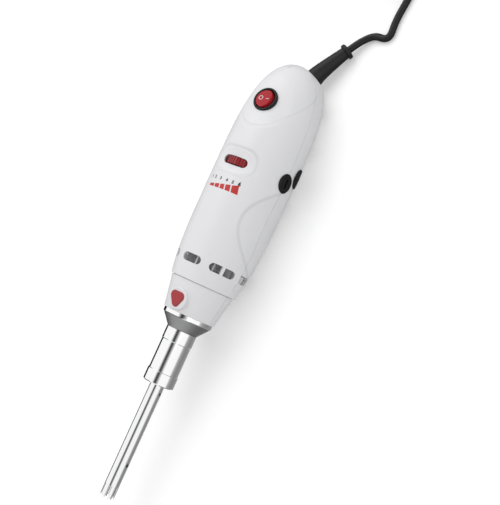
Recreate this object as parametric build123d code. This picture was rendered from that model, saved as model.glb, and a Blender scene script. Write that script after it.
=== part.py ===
from build123d import *
import math
import os

# Handheld rotor stator homogenizer, lying on its back on a bench.
#
# Everything is drawn about the spindle axis, in millimetres. A "station" is a distance along that
# axis, measured from the lower face of the generator's collar and growing towards the tail. At
# export each piece moves so that the bench is z = 0 and the row's origin is under the middle of
# the tool: +X runs to the tail, +Z to the switch side, -Y to the side with the stand socket.
# An azimuth is an angle about the axis from the switch side, positive towards -Y.

# ---------------------------------------------------------------- driving dimensions
TIP = -80.5  # open end of the stator tube
TAIL = 232.4  # apex of the housing's tail
BOOT_REACH = 262.0  # furthest station of the bend relief
MIDDLE = (TIP + BOOT_REACH) / 2

WALL = 2.4
RUN = 0.06  # radial clearance of a running or sliding fit
SEAT = 0.02  # clearance of a piece that is seated and held

# Housing form
NOSE_START = 49.3
NOSE_RADIUS = 17.85
NOSE_END_RADIUS = 21.9
BODY_START = 71.3
BODY_START_RADIUS = 22.8
GROOVE_WIDTH = 0.5
GROOVE_DEPTH = 0.7
PARTING_GAP = 0.24  # shadow gap between the shells
PARTING_DEPTH = 1.3
BODY_RADIUS = 26.4  # half width, and height of the front shell
BODY_DEPTH = 29.0  # depth of the rear shell at its fullest
AXIS_HEIGHT = BODY_DEPTH - 0.4  # spindle axis above the bench: the back's fullest part is flat
FULLEST = 150.0  # station of the fullest section
TAIL_POWER, TAIL_ROOT = 3.4, 2.2  # how the tail closes, seen from the front
HEEL_POWER, HEEL_ROOT = 30.0, 2.0  # how it closes at the back, where it is blunter
SQUARENESS = 2.4  # superellipse exponent of the rear shell's section, 2 is round
SECTION_SPANS = 8
LID = 2.0  # how far a rear section runs past the parting plane before it is trimmed

# Hood: a cylindrical cut that falls towards the tail and carries the switch
HOOD_START = 178.2
HOOD_SLOPE = 10.0
HOOD_RADIUS = 30.0

# Finger recesses, wheel dish, vents
RECESS_STATION, RECESS_HALF_LENGTH, RECESS_HALF_ARC, RECESS_DEPTH = 120.5, 22.0, 46.0, 1.0
RECESS_BACK_POINT = 19.0  # how far below the axis a recess fades out on the rear shell
DISH_HALF_LENGTH, DISH_HALF_ARC, DISH_DEPTH = 8.2, 33.5, 1.2
DISH_RUNOUT = 1.15  # how far a dish's cutter runs on past where the dish fades out
VENT_STATION, VENT_HEIGHT, VENT_SHORT, VENT_LONG, VENT_RIB = 84.8, 5.6, 14.6, 18.8, 2.0
FRONT_VENT_AZIMUTH = 54.0
REAR_VENT_AZIMUTHS = (103.0, 154.0)
INTAKE_STATION, INTAKE_LENGTH, INTAKE_WIDTH, INTAKE_PITCH, INTAKE_COUNT = 198.0, 24.0, 2.4, 5.0, 5

# Speed wheel and potentiometer
WHEEL_STATION = 153.6
WHEEL_RADIUS, WHEEL_WIDTH, WHEEL_PROUD = 9.5, 4.8, 1.6
WHEEL_RIBS, WHEEL_RIB_DEPTH = 30, 0.5
WHEEL_SLOT_LENGTH, WHEEL_SLOT_WIDTH = 19.0, 6.1
WHEEL_HEIGHT = BODY_RADIUS - DISH_DEPTH + WHEEL_PROUD - WHEEL_RADIUS
POT_RADIUS, POT_START, POT_END, POT_SPINDLE_RADIUS = 6.0, 158.6, 167.4, 1.5
POT_RIB_START, POT_RIB_END = 160.4, 165.4

# Rocker switch, drawn in its own frame: x along the tilt axis, z out of the hood
SWITCH_STATION = 198.8
BEZEL_RADIUS, BEZEL_PROUD, BEZEL_SUNK = 8.5, 1.1, 1.2
CAN_RADIUS, CAN_DEPTH, WELL_RADIUS, WELL_DEPTH = 7.9, 15.0, 7.2, 7.0
ROCKER_RADIUS, ROCKER_LIP_RADIUS, ROCKER_DEPTH, ROCKER_VALLEY = 6.4, 5.9, 5.2, 1.0
ROCKER_PIVOT, ROCKER_PIN_RADIUS, ROCKER_PIN_REACH, ROCKER_TILT = -2.6, 0.9, 7.7, 9.0

# Lock button
LOCK_STATION = 57.3
BUTTON_CORNER_RADIUS, BUTTON_FILLET = 8.8, 3.0
BUTTON_BOTTOM, BUTTON_TOP, BUTTON_PROUD = 17.4, 24.0, 1.1
BOSS_RADIUS, BOSS_HEIGHT = 7.5, 1.2
CUP_RADIUS, CUP_FLOOR, CUP_UNDERSIDE = 6.9, 12.0, 10.4
LOCK_PIN_RADIUS, LOCK_PIN_TIP = 1.9, 9.6
LOCK_SPRING_RADIUS, LOCK_SPRING_WIRE, LOCK_SPRING_TURNS = 2.9, 0.6, 4

# Motor and spindle
HUB_START, HUB_RADIUS = 39.3, 6.0
FRONT_BEARING_START, FRONT_BEARING_END, FRONT_BEARING_RADIUS = 43.2, 50.2, 11.0
SPINDLE_RADIUS, SPINDLE_STEP, SPINDLE_TAIL_RADIUS, SPINDLE_END = 4.0, 140.0, 3.0, 178.6
REAR_BEARING_START, REAR_BEARING_END, REAR_BEARING_RADIUS = 171.0, 177.0, 9.5
RACE_WALL = 2.0
LOCK_COLLAR_RADIUS, LOCK_COLLAR_HALF, LOCK_HOLE_RADIUS, LOCK_HOLE_BOTTOM = 9.0, 2.8, 2.1, 5.5
FAN_START, FAN_END, FAN_RADIUS, FAN_HUB_RADIUS, FAN_BLADES, FAN_PLATE = 79.5, 89.5, 18.5, 6.0, 9, 1.2
BAFFLE_START, BAFFLE_END, BAFFLE_BORE = 91.5, 93.0, 15.0
CORE_START, CORE_END = 100.0, 130.0
CORE_RADIUS, CORE_BORE, POLE_HALF_ARC = BODY_RADIUS - WALL - 2.0, 12.4, 52.0
WINDOW_RADIUS = CORE_RADIUS - 3.2
COIL_OVERHANG, COIL_INNER, COIL_OUTER, COIL_HALF_ARC = 5.0, CORE_BORE + 0.8, WINDOW_RADIUS - 0.4, 87.0
ARMATURE_RADIUS, ARMATURE_SLOTS, ARMATURE_SLOT_RADIUS, ARMATURE_SLOT_CIRCLE = 12.0, 12, 1.6, 9.4
WINDING_RADIUS, WINDING_OVERHANG, WINDING_RING_INNER, WINDING_RING_OUTER = 1.5, 5.4, 6.0, 10.9
COMMUTATOR_START, COMMUTATOR_END, COMMUTATOR_RADIUS, COMMUTATOR_BARS = 146.0, 162.0, 6.5, 12
CORE_RIBS = ((101.5, 103.5), (126.5, 128.5))
CORE_PASSAGES = (0, 60, -60, 120, -120, 180)  # azimuths where air passes the core's ribs
BEARING_PASSAGES = (45, -45, 135, -135)

# Brush gear, on the parting plane
BRUSH_STATION = 154.1
CAP_SEAT, CAP_FACE = BODY_RADIUS - 1.1, BODY_RADIUS + 0.7
BRUSH_GEAR_RADIUS, BRUSH_HOLDER_START, BRUSH_HOLDER_END = 5.5, COMMUTATOR_RADIUS + 0.9, CAP_SEAT - 4.8
BRUSH_LENGTH, BRUSH_WIDE, BRUSH_THICK = 9.4, 6.0, 5.0
BRUSH_SPRING_RADIUS, BRUSH_SPRING_WIRE, BRUSH_SPRING_TURNS = 1.9, 0.5, 4
CAP_RADIUS, CAP_SLOT_WIDTH, CAP_SLOT_LENGTH, CAP_SLOT_DEPTH = 6.7, 1.6, 6.4, 1.0
BRUSH_BOSS_RADIUS, BRUSH_BOSS_START = CAP_RADIUS + 0.4, BRUSH_HOLDER_END - 4.0

# Stand socket
SOCKET_STATION, SOCKET_AZIMUTH = 161.7, 120.0
SOCKET_FACE, SOCKET_SEAT, SOCKET_END = BODY_RADIUS + 2.8, BODY_RADIUS + 0.4, BODY_RADIUS - 7.8
SOCKET_FLANGE_RADIUS, SOCKET_BODY_RADIUS, SOCKET_HOLE_RADIUS, SOCKET_HOLE_DEPTH = 7.0, 5.0, 2.5, 8.5

# Screws that close the housing, as (station, distance either side of the middle)
SCREWS = ((66.6, 13.5), (141.4, 18.6), (184.0, 17.4), (213.0, 13.3))
SCREW_RADIUS, SCREW_HEAD_RADIUS, SCREW_HEAD_HEIGHT, SCREW_LENGTH = 1.45, 2.8, 2.0, 16.0
SCREW_SEAT, SCREW_COLUMN_RADIUS, SCREW_WELL_RADIUS = 7.0, 3.6, 3.1

# Speed control board
BOARD_START, BOARD_END, BOARD_HALF_WIDTH, BOARD_HEIGHT, BOARD_THICK = 180.5, 209.0, 11.5, -15.0, 1.6
BOARD_POSTS = ((184.0, 8.5), (205.5, 8.5))

# Nose ring and coupling sleeve
SLEEVE_START, RING_START = 29.7, 38.3
SLEEVE_RADIUS, SLEEVE_BORE, SLEEVE_THREAD_RADIUS = 10.65, 7.6, 9.5
RING_START_RADIUS, RING_RADIUS, RING_BAND_START = 10.3, 17.2, 46.5
RING_SPIGOT_RADIUS, RING_SPIGOT_BORE, RING_SPIGOT_END = 15.3, 12.6, 54.0

# Generator: collar, stator tube, rotor
LOWER_RING_RADIUS, LOWER_RING_END, COLLAR_RADIUS = 10.8, 8.7, 10.3
TUBE_RADIUS, TUBE_BORE, TUBE_SEAT_END = 5.0, 4.1, 20.0
SPIGOT_END, COLLAR_BORE = 38.0, 3.2
STATOR_SLOTS, STATOR_SLOT_WIDTH, STATOR_SLOT_LENGTH = 6, 2.0, 8.5
LOWER_HOLE_STATION, LOWER_HOLE_RADIUS = -56.5, 1.25
UPPER_HOLE_STATION, UPPER_HOLE_RADIUS = -5.6, 0.9
O_RING_STATION, O_RING_GROOVE_RADIUS, O_RING_WIRE, O_RING_GROOVE_WIDTH = 34.0, 6.6, 0.48, 1.4
ROTOR_SHAFT_RADIUS, ROTOR_TIP, ROTOR_HEAD_LENGTH = 2.0, -79.5, 11.0
ROTOR_HEAD_RADIUS, ROTOR_CUP_RADIUS, ROTOR_CUP_DEPTH = 3.85, 2.6, 8.0
ROTOR_BLADES, ROTOR_GAP, ROTOR_GAP_DEPTH = 4, 1.7, 7.0
LOWER_BUSH = (-66.0, -58.5)
UPPER_BUSH = (23.0, 37.0)
DOG_RADIUS, DOG_DISC, TONGUE_THICK, TONGUE_WIDE, TONGUE_LENGTH = 4.6, 0.8, 2.0, 8.0, 3.4

# Bend relief and cord
BOOT_SEAT = (229.4, 0.0, -16.8)
BOOT_DROP = 17.0  # degrees that its exit points towards the back
BOOT_END = (257.6, -12.6, -22.4)
BOOT_BASE_RADIUS, BOOT_END_RADIUS, BOOT_RING_RADIUS, BOOT_RING_WIDTH = 7.0, 4.2, 5.6, 2.85
BOOT_NECK_RADIUS, BOOT_NECK_LENGTH, BOOT_FLANGE_RADIUS, BOOT_FLANGE_LENGTH = 6.0, 5.0, 8.0, 2.0
BOOT_SECTIONS = 6
BOOT_BOSS_RADIUS = 8.6
CORD_RADIUS = 2.5
CORD_REST = CORD_RADIUS - AXIS_HEIGHT  # height of a lying cord's middle
CORD_TOUCHDOWN = (276.2, -22.3, CORD_REST)  # where the cord's first run would meet the bench
ARC_SHARE = 0.45

COIL_CENTRE = (350.0, -5.5)
COIL_TURN_RADIUS = 30.0  # middle of the turns
COIL_HALF_WIDTH = 5.1
COIL_HEIGHT = 20.4

PLUG_LENGTH, PLUG_WIDTH, PLUG_NOSE_WIDTH, PLUG_HEIGHT = 34.0, 26.0, 15.0, 13.4
PIN_RADIUS, PIN_LENGTH, PIN_PITCH = 2.0, 19.0, 18.6
PLUG_SLEEVE_LENGTH, PLUG_SLEEVE_RADIUS = 12.0, 4.4

FAR = 60.0  # a size past anything on the tool, for cutters


# ---------------------------------------------------------------- helpers
def across(station):
    """Plane across the axis: its x is +Y, its y is +Z and its normal is +X."""
    return Plane(origin=(station, 0, 0), x_dir=(0, 1, 0), z_dir=(1, 0, 0))


def rod(start, end, radius, bore=0.0):
    """Cylinder or ring on the axis between two stations."""
    outline = Circle(radius)
    if bore:
        outline -= Circle(bore)
    return extrude(across(start) * outline, end - start)


def turned(*points):
    """Solid of revolution about the axis, from (station, radius) points."""
    return revolve(make_face(Polyline(*points, close=True)), Axis.X)


def at_azimuth(station, azimuth):
    """Location that turns a shape drawn along +Z to an azimuth, at a station."""
    return Pos(station, 0, 0) * Rot(azimuth, 0, 0)


def radial_rod(start, end, radius):
    """Cylinder along +Z between two distances from the axis."""
    return Pos(0, 0, start) * Cylinder(radius, end - start, align=(Align.CENTER, Align.CENTER, Align.MIN))


def slab(start, end):
    """Everything between two stations."""
    return Pos((start + end) / 2, 0, 0) * Box(end - start, 2 * FAR, 2 * FAR)


def sector(inner, outer, middle, half_arc, start, end):
    """Sector of a ring about the axis, around an azimuth, between two stations."""
    steps = 6
    angles = [math.radians(middle - half_arc + 2 * half_arc * k / steps) for k in range(steps + 1)]
    reach = outer / math.cos(math.radians(half_arc / steps)) + 1
    corners = [(0, 0)] + [(-reach * math.sin(a), reach * math.cos(a)) for a in angles]
    wedge = make_face(Polyline(*corners, close=True))
    return extrude(across(start) * (wedge & (Circle(outer) - Circle(inner))), end - start)


def group(pieces):
    """Several solids that share one node."""
    return Compound([solid for piece in pieces for solid in piece.solids()])


def spring(radius, wire, turns, height):
    """Helical spring along +Z from z = 0, with its wire inside the given height."""
    rise = height - wire - 2 * SEAT
    path = Helix(pitch=rise / turns, height=rise, radius=radius)
    profile = Plane(origin=path @ 0, z_dir=path % 0) * RegularPolygon(wire / 2, 6)
    return Pos(0, 0, wire / 2 + SEAT) * sweep(profile, path, is_frenet=True)


def dished_cut(station, half_length, depth, low_radius, low_axis):
    """Ring-shaped cutter with a shallow belly, about an axis parallel to the spindle at height
    low_axis. The belly's bottom is low_radius from that axis, and its ends rise clear of the skin."""
    belly = (half_length**2 + depth**2) / (2 * depth)
    reach = DISH_RUNOUT * half_length
    rise = belly - math.sqrt(belly**2 - reach**2)
    start, end = station - reach, station + reach
    arc = ThreePointArc((start, low_radius + rise), (station, low_radius), (end, low_radius + rise))
    lid = low_radius + rise + 4
    outside = Polyline((end, low_radius + rise), (end, lid), (start, lid), (start, low_radius + rise))
    return Pos(0, 0, low_axis) * revolve(make_face(arc.edges() + outside.edges()), Axis.X)


def dish_circle(half_arc, depth):
    """Radius and centre height of the circle that a dish's bottom follows on the round front."""
    chord = BODY_RADIUS * math.sin(math.radians(half_arc))
    drop = BODY_RADIUS * (1 - math.cos(math.radians(half_arc)))
    sag = drop - depth
    radius = (chord**2 + sag**2) / (2 * sag)
    return radius, BODY_RADIUS - depth - radius


# ---------------------------------------------------------------- housing form
def half_width(station, inset=0.0):
    """Half width of the housing, which is also the radius of its round front."""
    if station < FULLEST:
        swell = ((FULLEST - station) / (FULLEST - BODY_START)) ** 4
        return BODY_RADIUS - (BODY_RADIUS - BODY_START_RADIUS) * swell - inset
    share = min(1.0, (station - FULLEST) / (TAIL - inset - FULLEST))
    return (BODY_RADIUS - inset) * (1 - share**TAIL_POWER) ** (1 / TAIL_ROOT)


def back_depth(station, inset=0.0):
    """Depth of the rear shell below the axis."""
    if station < FULLEST:
        swell = ((FULLEST - station) / (FULLEST - BODY_START)) ** 3
        return BODY_DEPTH - (BODY_DEPTH - BODY_START_RADIUS) * swell - inset
    share = min(1.0, (station - FULLEST) / (TAIL - inset - FULLEST))
    return (BODY_DEPTH - inset) * (1 - share**HEEL_POWER) ** (1 / HEEL_ROOT)


def squareness(station):
    """Exponent of the rear section: round at the nose, fuller from the middle on."""
    if station > FULLEST:
        return SQUARENESS
    swell = ((FULLEST - station) / (FULLEST - BODY_START)) ** 3
    return SQUARENESS - (SQUARENESS - 2) * swell


def tail_stations(inset):
    """Stations of the sections, closer together where the tail closes."""
    straight = [BODY_START, 80.0, 92.0, 108.0, 128.0, FULLEST, 168.0, 182.0]
    closing = [0.55, 0.68, 0.78, 0.86, 0.92, 0.957, 0.98, 0.992, 0.9975]
    return straight + [FULLEST + share * (TAIL - inset - FULLEST) for share in closing]


def rear_section(station, inset):
    """Lower half of a section, closed by a lid above the parting plane."""
    wide = half_width(station, inset)
    deep = back_depth(station, inset)
    power = 2 / squareness(station)
    points = []
    for k in range(SECTION_SPANS + 1):
        angle = math.pi * k / SECTION_SPANS
        side = math.copysign(abs(math.cos(angle)) ** power, math.cos(angle))
        points.append(Vector(wide * side, -deep * math.sin(angle) ** power))
    points[0], points[-1] = Vector(wide, 0), Vector(-wide, 0)
    shares = [k / SECTION_SPANS for k in range(SECTION_SPANS + 1)]
    curve = Edge.make_spline(points, parameters=shares)
    lid = Polyline((-wide, 0), (-wide, LID), (wide, LID), (wide, 0))
    return across(station) * make_face([curve] + list(lid.edges()))


def rear_form(inset):
    """Body of the rear shell, over its whole length."""
    return loft([rear_section(station, inset) for station in tail_stations(inset)])


def front_form(inset):
    """Round body of the front shell, as a full solid of revolution."""
    stations = tail_stations(inset)
    points = [(station, half_width(station, inset)) for station in stations]
    slope = 4 * (BODY_RADIUS - BODY_START_RADIUS) / (FULLEST - BODY_START)
    apex = (TAIL - inset, 0)
    skin = Spline(*points, apex, tangents=[(1, slope), (0, -1)])
    base = Polyline(apex, (BODY_START, 0), points[0])
    return revolve(make_face(skin.edges() + base.edges()), Axis.X)


def nose_form(inset):
    """Cone of the nose, which both shells carry half of."""
    if inset:
        return turned(
            (NOSE_START, 0),
            (NOSE_START, NOSE_RADIUS - inset),
            (BODY_START + 0.05, NOSE_END_RADIUS - inset),
            (BODY_START + 0.05, 0),
        )
    groove = BODY_START - GROOVE_WIDTH
    return turned(
        (NOSE_START, 0),
        (NOSE_START, NOSE_RADIUS),
        (groove, NOSE_END_RADIUS),
        (groove, NOSE_END_RADIUS - GROOVE_DEPTH),
        (BODY_START, NOSE_END_RADIUS - GROOVE_DEPTH),
        (BODY_START, 0),
    )


def hood_cut(inset):
    """What the falling hood takes off the round front."""
    lean = math.radians(HOOD_SLOPE)
    crest = half_width(HOOD_START)
    drum = Rot(0, 90, 0) * Cylinder(HOOD_RADIUS - inset, 4 * FAR)
    placed = Pos(-HOOD_RADIUS * math.sin(lean), 0, -HOOD_RADIUS * math.cos(lean)) * (Rot(0, HOOD_SLOPE, 0) * drum)
    placed = Pos(HOOD_START, 0, crest) * placed
    block = Pos((HOOD_START - 8 + TAIL + 10) / 2, 0, FAR / 2 + 1) * Box(TAIL + 18 - HOOD_START, 2 * FAR, FAR)
    return block - placed


def hood_height(station):
    """Height of the hood's crest above the axis."""
    return half_width(HOOD_START) - (station - HOOD_START) * math.tan(math.radians(HOOD_SLOPE))


def parting_gap(form, side):
    """Shell edge that the shadow gap takes off. Side is 1 for the front shell, -1 for the rear."""
    length = TAIL + 2 - NOSE_START
    strip = Pos(NOSE_START - 1 + length / 2, 0, side * PARTING_GAP / 4) * Box(length, FAR, PARTING_GAP / 2)
    return strip - form


UPPER = Pos(MIDDLE, 0, FAR / 2) * Box(7 * FAR, 2 * FAR, FAR)
LOWER = Pos(MIDDLE, 0, -AXIS_HEIGHT / 2) * Box(7 * FAR, 2 * FAR, AXIS_HEIGHT)

SWITCH_PLACE = Pos(SWITCH_STATION, 0, hood_height(SWITCH_STATION)) * Rot(0, HOOD_SLOPE, 0)
BOOT_EXIT = Plane(
    origin=BOOT_SEAT,
    x_dir=(0, 1, 0),
    z_dir=(math.cos(math.radians(BOOT_DROP)), 0, -math.sin(math.radians(BOOT_DROP))),
)


# ---------------------------------------------------------------- housing shells
def vent(length, ribbed):
    """Cutter for one vent, a stadium that runs round the body, along +Z."""
    mouth = Rot(0, 0, 90) * SlotOverall(length, VENT_HEIGHT)
    cutter = extrude(Plane.XY.offset(15) * mouth, 20)
    if ribbed:
        cutter -= Pos(0, 0, 25) * Box(VENT_HEIGHT + 2, VENT_RIB, 22)
    return cutter


def brush_recess(azimuth):
    """Bore for a brush holder and its cap, on the parting plane."""
    bore = radial_rod(BRUSH_HOLDER_START - 1, FAR / 2 + 5, BRUSH_GEAR_RADIUS + SEAT)
    bore += radial_rod(CAP_SEAT, FAR / 2 + 5, CAP_RADIUS + SEAT)
    return at_azimuth(BRUSH_STATION, azimuth) * bore


def brush_boss(azimuth):
    """Boss that carries a brush holder, before it is bored."""
    return at_azimuth(BRUSH_STATION, azimuth) * radial_rod(BRUSH_BOSS_START, BODY_RADIUS, BRUSH_BOSS_RADIUS)


def bulkheads(inside):
    """Ribs across the shell: baffle, two for the field core and one for the rear bearing."""
    ribs = inside & slab(BAFFLE_START, BAFFLE_END)
    ribs -= rod(BAFFLE_START, BAFFLE_END, BAFFLE_BORE)
    for start, end in CORE_RIBS:
        ribs += (inside & slab(start, end)) - rod(start, end, CORE_RADIUS + SEAT)
        for azimuth in CORE_PASSAGES:
            ribs -= sector(CORE_RADIUS - 1, FAR / 2, azimuth, 18, start - 1, end + 1)
    bearing = inside & slab(REAR_BEARING_START, REAR_BEARING_END)
    bearing -= rod(REAR_BEARING_START, REAR_BEARING_END, REAR_BEARING_RADIUS + SEAT)
    for azimuth in BEARING_PASSAGES:
        bearing -= sector(
            REAR_BEARING_RADIUS + 3, REAR_BEARING_RADIUS + 10, azimuth, 24, REAR_BEARING_START - 1, REAR_BEARING_END + 1
        )
    return ribs + bearing


def columns(inside, height, radius):
    """Screw columns from the parting plane to the wall."""
    posts = []
    for station, offset in SCREWS:
        for side in (-1, 1):
            post = Pos(station, side * offset, height / 2) * Cylinder(radius, abs(height))
            posts.append(inside & post)
    return posts


def front_shell():
    outer = (front_form(0.0) + nose_form(0.0)) & UPPER
    outer -= hood_cut(0.0)
    inside = (front_form(WALL) + nose_form(WALL)) & UPPER
    inside -= hood_cut(WALL)

    boss_lean = math.degrees(math.atan2(NOSE_END_RADIUS - NOSE_RADIUS, BODY_START - GROOVE_WIDTH - NOSE_START))
    skin_height = NOSE_RADIUS + (LOCK_STATION - NOSE_START) * math.tan(math.radians(boss_lean))
    boss = Pos(0, 0, -2) * Cylinder(BOSS_RADIUS, 2 + BOSS_HEIGHT, align=(Align.CENTER, Align.CENTER, Align.MIN))
    boss = fillet(boss.edges().filter_by(GeomType.CIRCLE).sort_by(Axis.Z)[-1], 0.7)
    boss = Pos(LOCK_STATION, 0, skin_height) * Rot(0, -boss_lean, 0) * boss
    cup = Pos(LOCK_STATION, 0, CUP_UNDERSIDE) * Cylinder(
        CUP_RADIUS, skin_height - 1 - CUP_UNDERSIDE, align=(Align.CENTER, Align.CENTER, Align.MIN)
    )

    shell = outer - inside
    shell += bulkheads(inside)
    for azimuth in (90, -90):
        shell += brush_boss(azimuth) & (inside + outer) & UPPER
    for post in columns(inside, FAR / 2, SCREW_COLUMN_RADIUS):
        shell += post
    saddle = inside & slab(POT_RIB_START, POT_RIB_END)
    saddle &= Pos(0, 0, WHEEL_HEIGHT + FAR / 2) * Box(7 * FAR, 2 * POT_RADIUS + 6, FAR)
    shell += saddle
    shell += (cup & (inside + outer)) + boss

    # Openings
    shell -= parting_gap(front_form(PARTING_DEPTH) + nose_form(PARTING_DEPTH), 1)
    low_radius, low_axis = dish_circle(DISH_HALF_ARC, DISH_DEPTH)
    dish = dished_cut(WHEEL_STATION, DISH_HALF_LENGTH, DISH_DEPTH, low_radius, low_axis)
    shell -= dish & (Pos(0, 0, BODY_RADIUS) * slab(WHEEL_STATION - 20, WHEEL_STATION + 20)) & (
        Pos(0, 0, FAR / 2 + 10) * Box(7 * FAR, 2 * FAR, FAR)
    )
    low_radius, low_axis = dish_circle(RECESS_HALF_ARC, RECESS_DEPTH)
    recess = dished_cut(RECESS_STATION, RECESS_HALF_LENGTH, RECESS_DEPTH, low_radius, low_axis)
    for side in (90, -90):
        shell -= (Rot(side, 0, 0) * (recess & (Pos(0, 0, FAR / 2 + 12) * Box(7 * FAR, 2 * FAR, FAR)))) & UPPER
    slot = Rot(0, 0, 90) * SlotOverall(WHEEL_SLOT_LENGTH, WHEEL_SLOT_WIDTH)
    shell -= Pos(WHEEL_STATION, 0, 0) * extrude(Plane.XY.offset(WHEEL_HEIGHT) * slot, 14)
    shell -= rod(POT_START, POT_END, POT_RADIUS + SEAT).moved(Location((0, 0, WHEEL_HEIGHT)))
    shell -= Pos(VENT_STATION, 0, 0) * vent(VENT_SHORT, False)
    for azimuth in (FRONT_VENT_AZIMUTH, -FRONT_VENT_AZIMUTH):
        shell -= at_azimuth(VENT_STATION, azimuth) * vent(VENT_LONG, True)
    for azimuth in (90, -90):
        shell -= brush_recess(azimuth)
    for station, offset in SCREWS:
        for side in (-1, 1):
            pilot = SCREW_LENGTH - SCREW_SEAT + 0.8
            shell -= Pos(station, side * offset, pilot / 2) * Cylinder(SCREW_RADIUS + SEAT, pilot)
    shell -= SWITCH_PLACE * (Pos(0, 0, -FAR / 4) * Cylinder(CAN_RADIUS + SEAT, FAR / 2))
    shell -= SWITCH_PLACE * Pos(0, 0, -BEZEL_SUNK) * Cylinder(
        BEZEL_RADIUS + SEAT, FAR / 4, align=(Align.CENTER, Align.CENTER, Align.MIN)
    )
    button_hole = extrude(Plane.XY.offset(CUP_FLOOR) * button_outline(RUN), 20)
    shell -= Pos(LOCK_STATION, 0, 0) * button_hole
    shell -= Pos(LOCK_STATION, 0, 0) * radial_rod(CUP_UNDERSIDE - 2, CUP_FLOOR + 1, LOCK_PIN_RADIUS + RUN)
    return shell


def rear_shell():
    outer = (rear_form(0.0) + nose_form(0.0)) & LOWER
    inside = (rear_form(WALL) + nose_form(WALL)) & LOWER
    inside -= Pos(MIDDLE, 0, -AXIS_HEIGHT - FAR / 2 + WALL - 0.6) * Box(7 * FAR, 2 * FAR, FAR)

    shell = outer - inside
    shell += bulkheads(inside)
    for azimuth in (90, -90):
        shell += brush_boss(azimuth) & (inside + outer) & LOWER
    for post in columns(inside, -FAR / 2, SCREW_COLUMN_RADIUS + 0.4):
        shell += post
    for station, offset in BOARD_POSTS:
        for side in (-1, 1):
            post = Pos(station, side * offset, BOARD_HEIGHT - FAR / 4) * Cylinder(1.8, FAR / 2)
            shell += inside & post
    socket_boss = at_azimuth(SOCKET_STATION, SOCKET_AZIMUTH) * radial_rod(
        SOCKET_END + 0.6, SOCKET_FACE - 1.2, SOCKET_BODY_RADIUS + 1.8
    )
    shell += socket_boss & (inside + outer)
    boot_boss = BOOT_EXIT * Pos(0, 0, -BOOT_NECK_LENGTH) * Cylinder(
        BOOT_BOSS_RADIUS, BOOT_NECK_LENGTH, align=(Align.CENTER, Align.CENTER, Align.MIN)
    )
    shell += boot_boss & outer
    shell -= parting_gap(rear_form(PARTING_DEPTH) + nose_form(PARTING_DEPTH), -1)

    # Finger recesses, shallower in section than on the front so that they fade at the same height
    side_drop = BODY_RADIUS * (1 - (1 - (RECESS_BACK_POINT / BODY_DEPTH) ** SQUARENESS) ** (1 / SQUARENESS))
    sag = side_drop - RECESS_DEPTH
    low_radius = (RECESS_BACK_POINT**2 + sag**2) / (2 * sag)
    recess = dished_cut(
        RECESS_STATION, RECESS_HALF_LENGTH, RECESS_DEPTH, low_radius, BODY_RADIUS - RECESS_DEPTH - low_radius
    )
    for side in (90, -90):
        shell -= (Rot(side, 0, 0) * (recess & (Pos(0, 0, FAR / 2 + 12) * Box(7 * FAR, 2 * FAR, FAR)))) & LOWER

    for azimuth in REAR_VENT_AZIMUTHS:
        for side in (-1, 1):
            shell -= at_azimuth(VENT_STATION, side * azimuth) * vent(VENT_SHORT, False)
    for azimuth in (90, -90):
        shell -= brush_recess(azimuth)
    for k in range(INTAKE_COUNT):
        across_y = (k - (INTAKE_COUNT - 1) / 2) * INTAKE_PITCH
        mouth = Pos(INTAKE_STATION, across_y, 0) * SlotOverall(INTAKE_LENGTH, INTAKE_WIDTH)
        shell -= extrude(Plane.XY.offset(-AXIS_HEIGHT - 1) * mouth, WALL + 3)
    for station, offset in SCREWS:
        for side in (-1, 1):
            shell -= Pos(station, side * offset, -FAR / 4) * Cylinder(SCREW_RADIUS + SEAT, FAR / 2)
            shell -= Pos(station, side * offset, -SCREW_SEAT - FAR / 4) * Cylinder(SCREW_WELL_RADIUS, FAR / 2)
    socket = radial_rod(SOCKET_END - 2, SOCKET_FACE, SOCKET_BODY_RADIUS + SEAT)
    socket += radial_rod(SOCKET_SEAT, SOCKET_FACE + 4, SOCKET_FLANGE_RADIUS + SEAT)
    shell -= at_azimuth(SOCKET_STATION, SOCKET_AZIMUTH) * socket
    shell -= BOOT_EXIT * Cylinder(BOOT_NECK_RADIUS + SEAT, 4 * BOOT_NECK_LENGTH)
    shell -= BOOT_EXIT * Cylinder(BOOT_BASE_RADIUS + 0.3, FAR / 4, align=(Align.CENTER, Align.CENTER, Align.MIN))
    return shell


def housing_screws():
    """Pan-head screws, driven from the back."""
    screws = []
    for station, offset in SCREWS:
        for side in (-1, 1):
            shank = Pos(0, 0, -SCREW_SEAT) * Cylinder(
                SCREW_RADIUS, SCREW_LENGTH, align=(Align.CENTER, Align.CENTER, Align.MIN)
            )
            head = Pos(0, 0, -SCREW_SEAT) * Cylinder(
                SCREW_HEAD_RADIUS, SCREW_HEAD_HEIGHT, align=(Align.CENTER, Align.CENTER, Align.MAX)
            )
            recess = Box(3.2, 0.7, 2.2) + Box(0.7, 3.2, 2.2)
            screw = shank + head - Pos(0, 0, -SCREW_SEAT - SCREW_HEAD_HEIGHT) * recess
            screws.append(Pos(station, side * offset, 0) * screw)
    return group(screws)


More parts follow.
